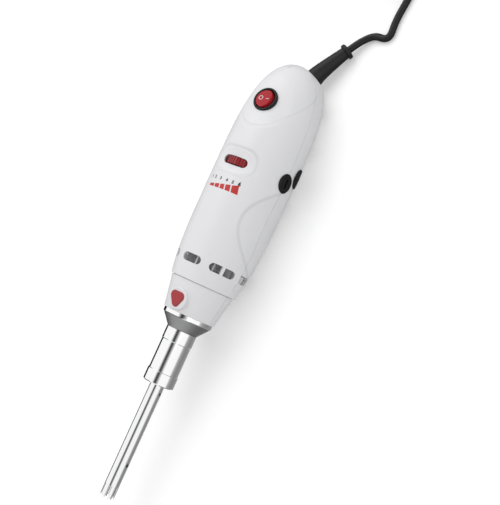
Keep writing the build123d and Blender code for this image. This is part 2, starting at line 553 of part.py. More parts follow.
# ---------------------------------------------------------------- nose ring and coupling sleeve
def nose_ring():
    """Turned cone between the coupling sleeve and the shells, and seat of the front bearing."""
    ring = turned(
        (RING_START, SLEEVE_THREAD_RADIUS + SEAT),
        (RING_START, RING_START_RADIUS),
        (RING_BAND_START - 0.4, RING_RADIUS - 0.5),
        (RING_BAND_START, RING_RADIUS),
        (NOSE_START - 0.2, RING_RADIUS),
        (NOSE_START, RING_RADIUS - 0.2),
        (NOSE_START, RING_SPIGOT_RADIUS),
        (RING_SPIGOT_END, RING_SPIGOT_RADIUS),
        (RING_SPIGOT_END, RING_SPIGOT_BORE),
        (FRONT_BEARING_END, RING_SPIGOT_BORE),
        (FRONT_BEARING_END, FRONT_BEARING_RADIUS + SEAT),
        (FRONT_BEARING_START, FRONT_BEARING_RADIUS + SEAT),
        (FRONT_BEARING_START, SLEEVE_THREAD_RADIUS + SEAT),
    )
    return ring - Pos(LOCK_STATION, 0, 0) * radial_rod(5, 30, CUP_RADIUS + 0.2)


def coupling_sleeve():
    """Plated socket that takes the generator's spigot."""
    return turned(
        (SLEEVE_START, SLEEVE_BORE),
        (SLEEVE_START, SLEEVE_RADIUS - 0.3),
        (SLEEVE_START + 0.3, SLEEVE_RADIUS),
        (RING_START, SLEEVE_RADIUS),
        (RING_START, SLEEVE_THREAD_RADIUS),
        (FRONT_BEARING_START, SLEEVE_THREAD_RADIUS),
        (FRONT_BEARING_START, SLEEVE_BORE),
    )


def bearing_outer(start, end, radius, bore):
    """Outer race with its shields."""
    race = bore + RACE_WALL
    return turned(
        (start, race + RUN),
        (start, radius - 0.3),
        (start + 0.3, radius),
        (end - 0.3, radius),
        (end, radius - 0.3),
        (end, race + RUN),
        (end - 0.6, race + RUN),
        (end - 0.6, radius - 1.4),
        (start + 0.6, radius - 1.4),
        (start + 0.6, race + RUN),
    )


def bearing_inner(start, end, bore):
    """Inner race with its ball groove."""
    race = bore + RACE_WALL
    groove = min(1.2, (end - start) / 4)
    middle = (start + end) / 2
    return turned(
        (start, bore),
        (start, race),
        (middle - groove, race),
        (middle, race - 0.7),
        (middle + groove, race),
        (end, race),
        (end, bore),
    )


# ---------------------------------------------------------------- motor
def field_core():
    """Laminated two-pole stator: poles at the front and the back, windows at the sides."""
    core = rod(CORE_START, CORE_END, CORE_RADIUS, CORE_BORE)
    for side in (90, -90):
        core -= sector(CORE_BORE - 1, WINDOW_RADIUS, side, 90 - POLE_HALF_ARC, CORE_START, CORE_END)
        core -= sector(COIL_INNER - 0.3, WINDOW_RADIUS, side, 90 - POLE_HALF_ARC + 12, CORE_START, CORE_END)
    return core


def field_coils():
    """Two saddle coils, one round each pole."""
    coils = []
    for pole in (0, 180):
        start, end = CORE_START - COIL_OVERHANG, CORE_END + COIL_OVERHANG
        coil = sector(COIL_INNER, COIL_OUTER, pole, COIL_HALF_ARC, start, end)
        neck = POLE_HALF_ARC - 10
        coil -= sector(COIL_INNER - 1, COIL_OUTER + 1, pole, neck, CORE_START - 0.2, CORE_END + 0.2)
        coils.append(coil)
    return group(coils)


def armature_core():
    """Laminated armature with slots for its windings."""
    outline = Circle(ARMATURE_RADIUS) - Circle(SPINDLE_RADIUS)
    mouth = Pos(0, (ARMATURE_SLOT_CIRCLE + ARMATURE_RADIUS) / 2 + 1) * Rectangle(
        1.0, ARMATURE_RADIUS - ARMATURE_SLOT_CIRCLE + 2
    )
    notch = mouth + Pos(0, ARMATURE_SLOT_CIRCLE) * RegularPolygon(ARMATURE_SLOT_RADIUS, 8)
    for k in range(ARMATURE_SLOTS):
        outline -= Rot(0, 0, 360 * k / ARMATURE_SLOTS) * notch
    return extrude(across(CORE_START) * outline, CORE_END - CORE_START)


def armature_windings():
    """Wire in the slots, joined by the end windings."""
    winding = None
    for start, end in (
        (CORE_START - WINDING_OVERHANG, CORE_START - 0.05),
        (CORE_END + 0.05, CORE_END + WINDING_OVERHANG),
    ):
        ring = turned(
            (start + 1, WINDING_RING_INNER),
            (start, WINDING_RING_INNER + 1.2),
            (start, WINDING_RING_OUTER - 1.4),
            (start + 1.4, WINDING_RING_OUTER),
            (end - 1.4, WINDING_RING_OUTER),
            (end, WINDING_RING_OUTER - 0.6),
            (end, WINDING_RING_INNER),
        )
        winding = ring if winding is None else winding + ring
    wire = across(CORE_START - 1) * Pos(0, ARMATURE_SLOT_CIRCLE) * RegularPolygon(WINDING_RADIUS - 0.1, 6)
    bar = extrude(wire, CORE_END - CORE_START + 2)
    for k in range(ARMATURE_SLOTS):
        winding += Rot(360 * k / ARMATURE_SLOTS, 0, 0) * bar
    return winding


def commutator():
    """Copper bars round an insulating sleeve, with the cuts between them."""
    drum = rod(COMMUTATOR_START, COMMUTATOR_END, COMMUTATOR_RADIUS, SPINDLE_TAIL_RADIUS)
    drum += rod(COMMUTATOR_START, COMMUTATOR_START + 1.6, COMMUTATOR_RADIUS + 1.2, SPINDLE_TAIL_RADIUS)
    for k in range(COMMUTATOR_BARS):
        cut = Pos((COMMUTATOR_START + COMMUTATOR_END) / 2, 0, COMMUTATOR_RADIUS + 0.6) * Box(
            COMMUTATOR_END - COMMUTATOR_START + 1, 0.5, 2.6
        )
        drum -= Rot(360 * (k + 0.5) / COMMUTATOR_BARS, 0, 0) * cut
    return drum


def cooling_fan():
    """Radial fan that throws the motor's air out of the vents."""
    fan = rod(FAN_START, FAN_END, FAN_HUB_RADIUS, SPINDLE_RADIUS)
    fan += rod(FAN_END - FAN_PLATE, FAN_END, FAN_RADIUS, SPINDLE_RADIUS)
    middle = (FAN_HUB_RADIUS + FAN_RADIUS) / 2 - 0.3
    blade = Pos((FAN_START + FAN_END) / 2, 0, middle) * Box(
        FAN_END - FAN_START, 1.2, FAN_RADIUS - FAN_HUB_RADIUS
    )
    for k in range(FAN_BLADES):
        fan += Rot(360 * k / FAN_BLADES, 0, 0) * (Rot(0, 0, 0) * blade)
    return fan


def spindle():
    """Motor shaft, with the slotted hub that drives the rotor."""
    shaft = turned(
        (HUB_START, 0),
        (HUB_START, HUB_RADIUS - 0.5),
        (HUB_START + 0.5, HUB_RADIUS),
        (FRONT_BEARING_START - 0.3, HUB_RADIUS),
        (FRONT_BEARING_START - 0.3, SPINDLE_RADIUS),
        (SPINDLE_STEP, SPINDLE_RADIUS),
        (SPINDLE_STEP, SPINDLE_TAIL_RADIUS),
        (SPINDLE_END, SPINDLE_TAIL_RADIUS),
        (SPINDLE_END, 0),
    )
    slot = Pos(HUB_START, 0, 0) * Box(2 * TONGUE_LENGTH + 0.6, TONGUE_THICK + 2 * RUN, 4 * HUB_RADIUS)
    return shaft - slot


def lock_collar():
    """Collar on the spindle with four holes, any of which takes the lock pin."""
    start, end = LOCK_STATION - LOCK_COLLAR_HALF, LOCK_STATION + LOCK_COLLAR_HALF
    collar = rod(start, end, LOCK_COLLAR_RADIUS, SPINDLE_RADIUS)
    for quarter in range(4):
        collar -= at_azimuth(LOCK_STATION, 90 * quarter) * radial_rod(
            LOCK_HOLE_BOTTOM, LOCK_COLLAR_RADIUS + 1, LOCK_HOLE_RADIUS
        )
    return collar


# ---------------------------------------------------------------- brush gear
def brush_holder():
    holder = radial_rod(BRUSH_HOLDER_START, BRUSH_HOLDER_END, BRUSH_GEAR_RADIUS)
    channel = Pos(0, 0, (BRUSH_HOLDER_START + BRUSH_HOLDER_END) / 2) * Box(
        BRUSH_WIDE + 2 * SEAT, BRUSH_THICK + 2 * SEAT, FAR / 2
    )
    return holder - channel


def carbon_brush():
    start = COMMUTATOR_RADIUS + 0.1
    return Pos(0, 0, start + BRUSH_LENGTH / 2) * Box(BRUSH_WIDE, BRUSH_THICK, BRUSH_LENGTH)


def brush_spring():
    start = COMMUTATOR_RADIUS + 0.1 + BRUSH_LENGTH
    height = BRUSH_HOLDER_END - start
    return Pos(0, 0, start) * spring(BRUSH_SPRING_RADIUS, BRUSH_SPRING_WIRE, BRUSH_SPRING_TURNS, height)


def brush_cap():
    cap = radial_rod(BRUSH_HOLDER_END, CAP_SEAT + 0.4, BRUSH_GEAR_RADIUS)
    disc = radial_rod(CAP_SEAT, CAP_FACE, CAP_RADIUS)
    cap += chamfer(disc.edges().sort_by(Axis.Z)[-1], 0.5)
    return cap - Pos(0, 0, CAP_FACE) * Box(CAP_SLOT_LENGTH, CAP_SLOT_WIDTH, 2 * CAP_SLOT_DEPTH)


def stand_socket():
    """Tapped insert for a stand rod."""
    socket = radial_rod(SOCKET_END, SOCKET_SEAT + 0.4, SOCKET_BODY_RADIUS)
    flange = radial_rod(SOCKET_SEAT, SOCKET_FACE, SOCKET_FLANGE_RADIUS)
    socket += chamfer(flange.edges().sort_by(Axis.Z)[-1], 0.6)
    socket -= radial_rod(SOCKET_FACE - SOCKET_HOLE_DEPTH, SOCKET_FACE + 1, SOCKET_HOLE_RADIUS)
    return at_azimuth(SOCKET_STATION, SOCKET_AZIMUTH) * socket


# ---------------------------------------------------------------- controls
def button_outline(grow=0.0):
    """Rounded triangle that points to the probe."""
    triangle = RegularPolygon(BUTTON_CORNER_RADIUS, 3, rotation=180)
    triangle = fillet(triangle.vertices(), BUTTON_FILLET)
    return offset(triangle, grow) if grow else triangle


def lock_button():
    lean = math.degrees(math.atan2(NOSE_END_RADIUS - NOSE_RADIUS, BODY_START - GROOVE_WIDTH - NOSE_START))
    skin_height = NOSE_RADIUS + (LOCK_STATION - NOSE_START) * math.tan(math.radians(lean))
    face = skin_height + BOSS_HEIGHT + BUTTON_PROUD
    button = extrude(Plane.XY.offset(BUTTON_BOTTOM) * button_outline(), BUTTON_TOP - BUTTON_BOTTOM)
    trim = Pos(0, 0, face) * Rot(0, -lean, 0) * Cylinder(FAR / 2, FAR, align=(Align.CENTER, Align.CENTER, Align.MIN))
    button -= trim
    top = button.faces().sort_by(Axis.Z)[-1]
    button = chamfer(top.edges(), 0.7)
    return Pos(LOCK_STATION, 0, 0) * button


def lock_pin():
    return Pos(LOCK_STATION, 0, 0) * radial_rod(LOCK_PIN_TIP, BUTTON_BOTTOM, LOCK_PIN_RADIUS)


def lock_spring():
    coil = spring(LOCK_SPRING_RADIUS, LOCK_SPRING_WIRE, LOCK_SPRING_TURNS, BUTTON_BOTTOM - CUP_FLOOR)
    return Pos(LOCK_STATION, 0, CUP_FLOOR) * coil


def speed_wheel():
    """Ribbed thumbwheel on the potentiometer's spindle."""
    points = []
    for k in range(WHEEL_RIBS):
        for share, radius in (
            (0.0, WHEEL_RADIUS),
            (0.5, WHEEL_RADIUS),
            (0.65, WHEEL_RADIUS - WHEEL_RIB_DEPTH),
            (0.85, WHEEL_RADIUS - WHEEL_RIB_DEPTH),
        ):
            angle = 2 * math.pi * (k + share) / WHEEL_RIBS
            points.append((radius * math.cos(angle), radius * math.sin(angle)))
    outline = make_face(Polyline(*points, close=True)) - Circle(POT_SPINDLE_RADIUS)
    wheel = extrude(across(WHEEL_STATION - WHEEL_WIDTH / 2) * outline, WHEEL_WIDTH)
    return Pos(0, 0, WHEEL_HEIGHT) * wheel


def potentiometer():
    can = rod(POT_START, POT_END, POT_RADIUS, POT_SPINDLE_RADIUS + RUN)
    return Pos(0, 0, WHEEL_HEIGHT) * can


def pot_spindle():
    return Pos(0, 0, WHEEL_HEIGHT) * rod(WHEEL_STATION - WHEEL_WIDTH / 2, POT_END - 1, POT_SPINDLE_RADIUS)


def switch_body():
    bezel = Pos(0, 0, -BEZEL_SUNK) * Cylinder(
        BEZEL_RADIUS, BEZEL_SUNK + BEZEL_PROUD, align=(Align.CENTER, Align.CENTER, Align.MIN)
    )
    bezel = fillet(bezel.edges().sort_by(Axis.Z)[-1], 0.6)
    can = Pos(0, 0, -CAN_DEPTH) * Cylinder(
        CAN_RADIUS, CAN_DEPTH - BEZEL_SUNK, align=(Align.CENTER, Align.CENTER, Align.MIN)
    )
    well = Pos(0, 0, -WELL_DEPTH) * Cylinder(
        WELL_RADIUS, WELL_DEPTH + 4, align=(Align.CENTER, Align.CENTER, Align.MIN)
    )
    pivots = Pos(0, 0, ROCKER_PIVOT) * Rot(0, 90, 0) * Cylinder(ROCKER_PIN_RADIUS + RUN, 2 * ROCKER_PIN_REACH)
    return SWITCH_PLACE * (bezel + can - well - pivots)


def switch_terminals():
    blades = []
    for k in (-1, 0, 1):
        blade = Pos(k * 4.8, 0, -CAN_DEPTH - 2.5) * Box(0.8, 4.6, 5.0)
        blades.append(SWITCH_PLACE * blade)
    return group(blades)


def rocker():
    """Rocker as it lies when off: the +Y side is pressed in."""
    side = ((0, -ROCKER_DEPTH), (ROCKER_RADIUS, -ROCKER_DEPTH), (ROCKER_RADIUS, 0), (ROCKER_LIP_RADIUS, 4), (0, 4))
    body = revolve(Plane.XZ * make_face(Polyline(*side, close=True)), Axis.Z)
    for side in (-1, 1):
        wedge = Pos(0, side * FAR / 4, FAR / 4) * Box(FAR, FAR / 2, FAR / 2)
        body -= Pos(0, 0, ROCKER_VALLEY) * Rot(side * ROCKER_TILT, 0, 0) * wedge
    pins = Pos(0, 0, ROCKER_PIVOT) * Rot(0, 90, 0) * Cylinder(ROCKER_PIN_RADIUS, 2 * ROCKER_PIN_REACH - 0.2)
    upright = Pos(0, 0, -ROCKER_PIVOT) * (body + pins)
    return SWITCH_PLACE * Pos(0, 0, ROCKER_PIVOT) * Rot(-ROCKER_TILT, 0, 0) * upright


def speed_board():
    """Phase control board with its heat sink and capacitor."""
    board = Pos((BOARD_START + BOARD_END) / 2, 0, BOARD_HEIGHT + BOARD_THICK / 2) * Box(
        BOARD_END - BOARD_START, 2 * BOARD_HALF_WIDTH, BOARD_THICK
    )
    top = BOARD_HEIGHT + BOARD_THICK
    sink = Pos(BOARD_START + 7, 0, top + 4) * Box(8, 16, 8.2)
    for k in range(3):
        sink -= Pos(BOARD_START + 7, -5 + 5 * k, top + 5.5) * Box(9, 2.2, 6)
    can = Pos(BOARD_START + 20, 4, top - 0.1) * Cylinder(4, 9, align=(Align.CENTER, Align.CENTER, Align.MIN))
    return board + sink + can


# ---------------------------------------------------------------- generator
def generator_collar():
    """Grip of the generator, with the spigot that enters the coupling sleeve."""
    groove_start = O_RING_STATION - O_RING_GROOVE_WIDTH / 2
    groove_end = O_RING_STATION + O_RING_GROOVE_WIDTH / 2
    return turned(
        (LOWER_RING_END, TUBE_RADIUS),
        (LOWER_RING_END, COLLAR_RADIUS),
        (SLEEVE_START - 0.3, COLLAR_RADIUS),
        (SLEEVE_START, COLLAR_RADIUS - 0.3),
        (SLEEVE_START, SLEEVE_BORE - RUN),
        (groove_start, SLEEVE_BORE - RUN),
        (groove_start, O_RING_GROOVE_RADIUS),
        (groove_end, O_RING_GROOVE_RADIUS),
        (groove_end, SLEEVE_BORE - RUN),
        (SPIGOT_END - 0.5, SLEEVE_BORE - RUN),
        (SPIGOT_END, SLEEVE_BORE - RUN - 0.5),
        (SPIGOT_END, COLLAR_BORE),
        (TUBE_SEAT_END, COLLAR_BORE),
        (TUBE_SEAT_END, TUBE_RADIUS),
    )


def collar_ring():
    """Lower ring of the collar, a little wider than the grip."""
    return turned(
        (0, TUBE_RADIUS),
        (0, LOWER_RING_RADIUS - 0.6),
        (0.6, LOWER_RING_RADIUS),
        (LOWER_RING_END - 0.3, LOWER_RING_RADIUS),
        (LOWER_RING_END, LOWER_RING_RADIUS - 0.3),
        (LOWER_RING_END, TUBE_RADIUS),
    )


def o_ring():
    middle = O_RING_GROOVE_RADIUS + O_RING_WIRE
    profile = Pos(O_RING_STATION, middle) * RegularPolygon(O_RING_WIRE, 8, major_radius=True)
    return revolve(profile, Axis.X)


def stator_tube():
    """Tube whose open end is cut into teeth, with two relief holes."""
    tube = rod(TIP, TUBE_SEAT_END, TUBE_RADIUS, TUBE_BORE)
    for k in range(STATOR_SLOTS // 2):
        cut = Pos(TIP, 0, 0) * Box(2 * STATOR_SLOT_LENGTH, STATOR_SLOT_WIDTH, 4 * TUBE_RADIUS)
        tube -= Rot(360 * (k + 0.5) / STATOR_SLOTS, 0, 0) * cut
    tube -= at_azimuth(LOWER_HOLE_STATION, 90) * radial_rod(0, 10, LOWER_HOLE_RADIUS)
    tube -= at_azimuth(UPPER_HOLE_STATION, 90) * radial_rod(0, 10, UPPER_HOLE_RADIUS)
    return tube


def bushes():
    """Plain bearings of the rotor, one near each end."""
    lower = rod(*LOWER_BUSH, TUBE_BORE - SEAT, ROTOR_SHAFT_RADIUS + RUN)
    upper = rod(*UPPER_BUSH, COLLAR_BORE - SEAT, ROTOR_SHAFT_RADIUS + RUN)
    return group([lower, upper])


def rotor_head():
    """Bladed cup that turns inside the teeth of the stator."""
    end = ROTOR_TIP + ROTOR_HEAD_LENGTH
    head = turned(
        (ROTOR_TIP, ROTOR_CUP_RADIUS),
        (ROTOR_TIP, ROTOR_HEAD_RADIUS),
        (end - 1.2, ROTOR_HEAD_RADIUS),
        (end, ROTOR_SHAFT_RADIUS + 0.5),
        (end, 0),
        (ROTOR_TIP + ROTOR_CUP_DEPTH, 0),
        (ROTOR_TIP + ROTOR_CUP_DEPTH, ROTOR_CUP_RADIUS),
    )
    for k in range(ROTOR_BLADES // 2):
        cut = Pos(ROTOR_TIP, 0, 0) * Box(2 * ROTOR_GAP_DEPTH, ROTOR_GAP, 4 * ROTOR_HEAD_RADIUS)
        head -= Rot(360 * k / ROTOR_BLADES + 45, 0, 0) * cut
    return head


def rotor_shaft():
    """Shaft from the head to the drive dog, whose tongue enters the spindle's slot."""
    dog_start = HUB_START - 0.3 - DOG_DISC
    shaft = rod(ROTOR_TIP + ROTOR_HEAD_LENGTH, dog_start, ROTOR_SHAFT_RADIUS)
    shaft += rod(dog_start, dog_start + DOG_DISC, DOG_RADIUS)
    tongue = Pos(dog_start + DOG_DISC + (TONGUE_LENGTH - 0.2) / 2, 0, 0) * Box(
        TONGUE_LENGTH - 0.2, TONGUE_THICK, TONGUE_WIDE
    )
    return shaft + tongue


# ---------------------------------------------------------------- bend relief, cord, coil, plug
def boot_line(share):
    """Point and direction on the bend relief's middle line, a cubic Bezier curve."""
    start = Vector(*BOOT_SEAT)
    end = Vector(*BOOT_END)
    span = (end - start).length
    first = start + BOOT_EXIT.z_dir * (0.22 * span)
    last = end - (Vector(*CORD_TOUCHDOWN) - end).normalized() * (0.42 * span)
    rest = 1 - share
    point = start * rest**3 + first * (3 * rest**2 * share) + last * (3 * rest * share**2) + end * share**3
    slope = (first - start) * rest**2 + (last - first) * (2 * rest * share) + (end - last) * share**2
    return point, slope.normalized()


def strain_relief():
    """Moulded rubber boot: tapered, bent by the pull of the cord, with a bead at its mouth."""
    sections = []
    for k in range(BOOT_SECTIONS):
        share = k / (BOOT_SECTIONS - 1)
        point, direction = boot_line(share)
        radius = BOOT_BASE_RADIUS + (BOOT_END_RADIUS - BOOT_BASE_RADIUS) * share
        sections.append(Plane(origin=point, x_dir=(0, 1, 0.001), z_dir=direction) * Circle(radius))
    boot = loft(sections)
    point, direction = boot_line(1.0)
    bead = Cylinder(BOOT_RING_RADIUS, BOOT_RING_WIDTH, align=(Align.CENTER, Align.CENTER, Align.MIN))
    bead = fillet(bead.edges().filter_by(GeomType.CIRCLE), 0.8)
    boot += Plane(origin=point - direction * 0.6, x_dir=(0, 1, 0.001), z_dir=direction) * bead
    neck = Cylinder(BOOT_NECK_RADIUS, BOOT_NECK_LENGTH + 0.5, align=(Align.CENTER, Align.CENTER, Align.MAX))
    flange = Pos(0, 0, -BOOT_NECK_LENGTH) * Cylinder(
        BOOT_FLANGE_RADIUS, BOOT_FLANGE_LENGTH, align=(Align.CENTER, Align.CENTER, Align.MAX)
    )
    return boot + BOOT_EXIT * (Pos(0, 0, 0.5) * neck) + BOOT_EXIT * flange


def cord_exit():
    """Where the cord leaves the bead."""
    point, direction = boot_line(1.0)
    return point + direction * (BOOT_RING_WIDTH - 0.6)


def route_tube(points, name):
    """Tube along straight runs joined by the largest arcs that the runs allow."""
    vectors = [Vector(*p) for p in points]
    radii = []
    for before, corner, after in zip(vectors, vectors[1:], vectors[2:]):
        turn = math.radians((corner - before).get_angle(after - corner))
        shorter = min((corner - before).length, (after - corner).length)
        radii.append(ARC_SHARE * shorter / math.tan(turn / 2))
    print(name, "radii", [round(r, 1) for r in radii])
    path = FilletPolyline(*vectors, radius=radii)
    tube = sweep(Plane(origin=path @ 0, z_dir=path % 0) * Circle(CORD_RADIUS), path)
    section = math.pi * CORD_RADIUS**2
    print(name, "length", round(path.length, 1), "volume ratio", round(tube.volume / (section * path.length), 4))
    return tube


def cord_route():
    """Hand-picked points from the bead, over the bench, into the coil's outer turn."""
    start = cord_exit()
    rest = CORD_REST
    return [
        (start.X, start.Y, start.Z),
        CORD_TOUCHDOWN,
        (273.4, -38.2, rest),
        (289.0, -36.2, rest),
        (307.0, -38.6, rest),
        (327.0, -38.4, rest),
        (COIL_CENTRE[0] - 6.0, COIL_CENTRE[1] - COIL_TURN_RADIUS - 1.2, rest),
    ]


def cord():
    return route_tube(cord_route(), "cord") - cord_coil()


def cord_coil():
    """Outer shape of the turns that the rest of the cord is wound into, two side by side, four high."""
    inner = COIL_TURN_RADIUS - COIL_HALF_WIDTH
    outer = COIL_TURN_RADIUS + COIL_HALF_WIDTH
    profile = Pos((inner + outer) / 2, COIL_HEIGHT / 2) * RectangleRounded(outer - inner, COIL_HEIGHT, 2.4)
    ring = revolve(Plane.XZ * profile, Axis.Z)
    return Pos(COIL_CENTRE[0], COIL_CENTRE[1], -AXIS_HEIGHT) * ring


def tail_route():
    """From the coil's top outer turn down to the plug."""
    start_y = COIL_CENTRE[1] - COIL_TURN_RADIUS - COIL_HALF_WIDTH + CORD_RADIUS + 1.6
    top = CORD_REST + COIL_HEIGHT - 2 * CORD_RADIUS
    plug_height = PLUG_HEIGHT / 2 - AXIS_HEIGHT
    return [
        (COIL_CENTRE[0] - 4.0, start_y, top - 1.0),
        (COIL_CENTRE[0] + 13.0, start_y, top - 3.4),
        (COIL_CENTRE[0] + 29.0, start_y + 3.5, plug_height + 2.2),
        (COIL_CENTRE[0] + 45.0, start_y + 13.0, plug_height),
    ]


def cord_tail():
    return route_tube(tail_route(), "cord_tail") - cord_coil()


def plug_place():
    """Plug's frame: x out of its back towards the pins."""
    before, end = (Vector(*p) for p in tail_route()[-2:])
    heading = Vector(end.X - before.X, end.Y - before.Y, 0).normalized()
    return Plane(origin=(end.X, end.Y, PLUG_HEIGHT / 2 - AXIS_HEIGHT), x_dir=heading, z_dir=(0, 0, 1))


def plug_body():
    """Flat two-pin plug, wider at its waist."""
    sleeve = PLUG_SLEEVE_LENGTH
    outline = Polyline(
        (sleeve, -PLUG_NOSE_WIDTH / 2 + 2),
        (sleeve + 10, -PLUG_WIDTH / 2),
        (sleeve + PLUG_LENGTH - 8, -PLUG_WIDTH / 2),
        (sleeve + PLUG_LENGTH, -PLUG_NOSE_WIDTH / 2 - 4),
        (sleeve + PLUG_LENGTH, PLUG_NOSE_WIDTH / 2 + 4),
        (sleeve + PLUG_LENGTH - 8, PLUG_WIDTH / 2),
        (sleeve + 10, PLUG_WIDTH / 2),
        (sleeve, PLUG_NOSE_WIDTH / 2 - 2),
        close=True,
    )
    body = extrude(Plane.XY.offset(-PLUG_HEIGHT / 2) * make_face(outline), PLUG_HEIGHT)
    body = fillet(body.edges().filter_by(Axis.Z), 1.5)
    body = chamfer(body.edges().group_by(Axis.Z)[0] + body.edges().group_by(Axis.Z)[-1], 1.2)
    throat = Plane.YZ * Circle(CORD_RADIUS + 0.6)
    root = Plane.YZ.offset(sleeve + 1) * Circle(PLUG_SLEEVE_RADIUS)
    return plug_place() * (body + loft([throat, root]))


def plug_pins():
    pins = []
    start = PLUG_SLEEVE_LENGTH + PLUG_LENGTH
    for side in (-1, 1):
        pin = Plane.YZ.offset(start) * (Pos(side * PIN_PITCH / 2, 0) * Circle(PIN_RADIUS))
        pins.append(plug_place() * extrude(pin, PIN_LENGTH))
    return group(pins)


# ---------------------------------------------------------------- assembly
PIECES = {
    "front_shell": front_shell,
    "rear_shell": rear_shell,
    "housing_screws": housing_screws,
    "nose_ring": nose_ring,
    "coupling_sleeve": coupling_sleeve,
    "front_bearing": lambda: bearing_outer(
        FRONT_BEARING_START, FRONT_BEARING_END, FRONT_BEARING_RADIUS, SPINDLE_RADIUS
    ),
    "rear_bearing": lambda: bearing_outer(
        REAR_BEARING_START, REAR_BEARING_END, REAR_BEARING_RADIUS, SPINDLE_TAIL_RADIUS
    ),
    "field_core": field_core,
    "field_coils": field_coils,
    "stand_socket": stand_socket,
    "switch_body": switch_body,
    "switch_terminals": switch_terminals,
    "potentiometer": potentiometer,
    "speed_board": speed_board,
    "strain_relief": strain_relief,
    "spindle": spindle,
    "lock_collar": lock_collar,
    "front_race": lambda: bearing_inner(FRONT_BEARING_START, FRONT_BEARING_END, SPINDLE_RADIUS),
    "rear_race": lambda: bearing_inner(REAR_BEARING_START, REAR_BEARING_END, SPINDLE_TAIL_RADIUS),
    "cooling_fan": cooling_fan,
    "armature_core": armature_core,
    "armature_windings": armature_windings,
    "commutator": commutator,
    "lock_button": lock_button,
    "lock_pin": lock_pin,
    "lock_spring": lock_spring,
    "speed_wheel": speed_wheel,
    "pot_spindle": pot_spindle,
    "rocker": rocker,
    "generator_collar": generator_collar,
    "collar_ring": collar_ring,
    "o_ring": o_ring,
    "stator_tube": stator_tube,
    "bushes": bushes,
    "rotor_shaft": rotor_shaft,
    "rotor_head": rotor_head,
    "cord": cord,
    "cord_coil": cord_coil,
    "cord_tail": cord_tail,
    "plug_body": plug_body,
    "plug_pins": plug_pins,
}

for side_name, side_azimuth in (("right", 90), ("left", -90)):
    place = at_azimuth(BRUSH_STATION, side_azimuth)
    PIECES[f"brush_holder_{side_name}"] = lambda place=place: place * brush_holder()
    PIECES[f"carbon_brush_{side_name}"] = lambda place=place: place * carbon_brush()
    PIECES[f"brush_spring_{side_name}"] = lambda place=place: place * brush_spring()
    PIECES[f"brush_cap_{side_name}"] = lambda place=place: place * brush_cap()

os.makedirs("parts", exist_ok=True)
BENCH = Location((-MIDDLE, 0, AXIS_HEIGHT))
for node, make in PIECES.items():
    piece = make()
    export_step(piece.moved(BENCH), f"parts/{node}.step")
    print(node, "solids", len(piece.solids()), "volume", round(piece.volume, 1))
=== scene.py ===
"""Handheld rotor stator homogenizer lying on a bench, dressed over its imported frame.

Stations, sides and heights are in millimetres: a station runs along the spindle from the lower
face of the generator's collar towards the tail, a side is positive towards the stand socket, and
a height is measured from the spindle's axis. `place` turns them into the row frame, in metres.
"""

import logging
import math
from dataclasses import dataclass, field
from enum import Enum

import bpy
import numpy as np
from mathutils import Euler, Matrix, Vector


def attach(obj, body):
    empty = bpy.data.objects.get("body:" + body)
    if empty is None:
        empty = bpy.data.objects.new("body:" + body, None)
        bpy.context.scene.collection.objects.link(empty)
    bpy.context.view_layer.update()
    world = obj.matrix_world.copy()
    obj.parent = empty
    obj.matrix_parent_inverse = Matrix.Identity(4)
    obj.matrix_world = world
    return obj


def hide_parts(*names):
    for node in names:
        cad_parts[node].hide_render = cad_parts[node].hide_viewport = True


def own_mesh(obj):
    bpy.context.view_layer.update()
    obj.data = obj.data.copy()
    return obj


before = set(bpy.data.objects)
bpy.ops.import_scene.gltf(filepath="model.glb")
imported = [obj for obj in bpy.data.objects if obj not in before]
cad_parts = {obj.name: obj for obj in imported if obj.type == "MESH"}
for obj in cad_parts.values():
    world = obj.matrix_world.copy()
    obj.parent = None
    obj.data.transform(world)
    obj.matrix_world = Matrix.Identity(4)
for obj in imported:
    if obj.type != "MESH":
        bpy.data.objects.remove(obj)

logging.basicConfig(level=logging.INFO, format="%(message)s")
log = logging.getLogger("homogenizer")

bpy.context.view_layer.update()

MIDDLE = 90.75
AXIS_HEIGHT = 28.6
MM = 0.001


def place(station: float, side: float, height: float) -> Vector:
    """Point of the row frame, in metres.

    Args:
        station: Distance along the spindle, mm.
        side: Distance towards the stand socket's side, mm.
        height: Height above the spindle's axis, mm.

    Returns:
        The point in the row frame.
    """
    return Vector(((station - MIDDLE) * MM, -side * MM, (height + AXIS_HEIGHT) * MM))


def place_all(points: np.ndarray) -> np.ndarray:
    """Same as `place`, for an array.

    Args:
        points: Array of (station, side, height) rows, mm.

    Returns:
        Array of row frame points, in metres.
    """
    moved = np.asarray(points, dtype=float).copy()
    moved[:, 0] -= MIDDLE
    moved[:, 1] *= -1
    moved[:, 2] += AXIS_HEIGHT
    return moved * MM


# ------------------------------------------------------------------------------ shader groups
class Sockets(Enum):
    """Socket types of a group's interface."""

    FLOAT = "NodeSocketFloat"
    COLOUR = "NodeSocketColor"


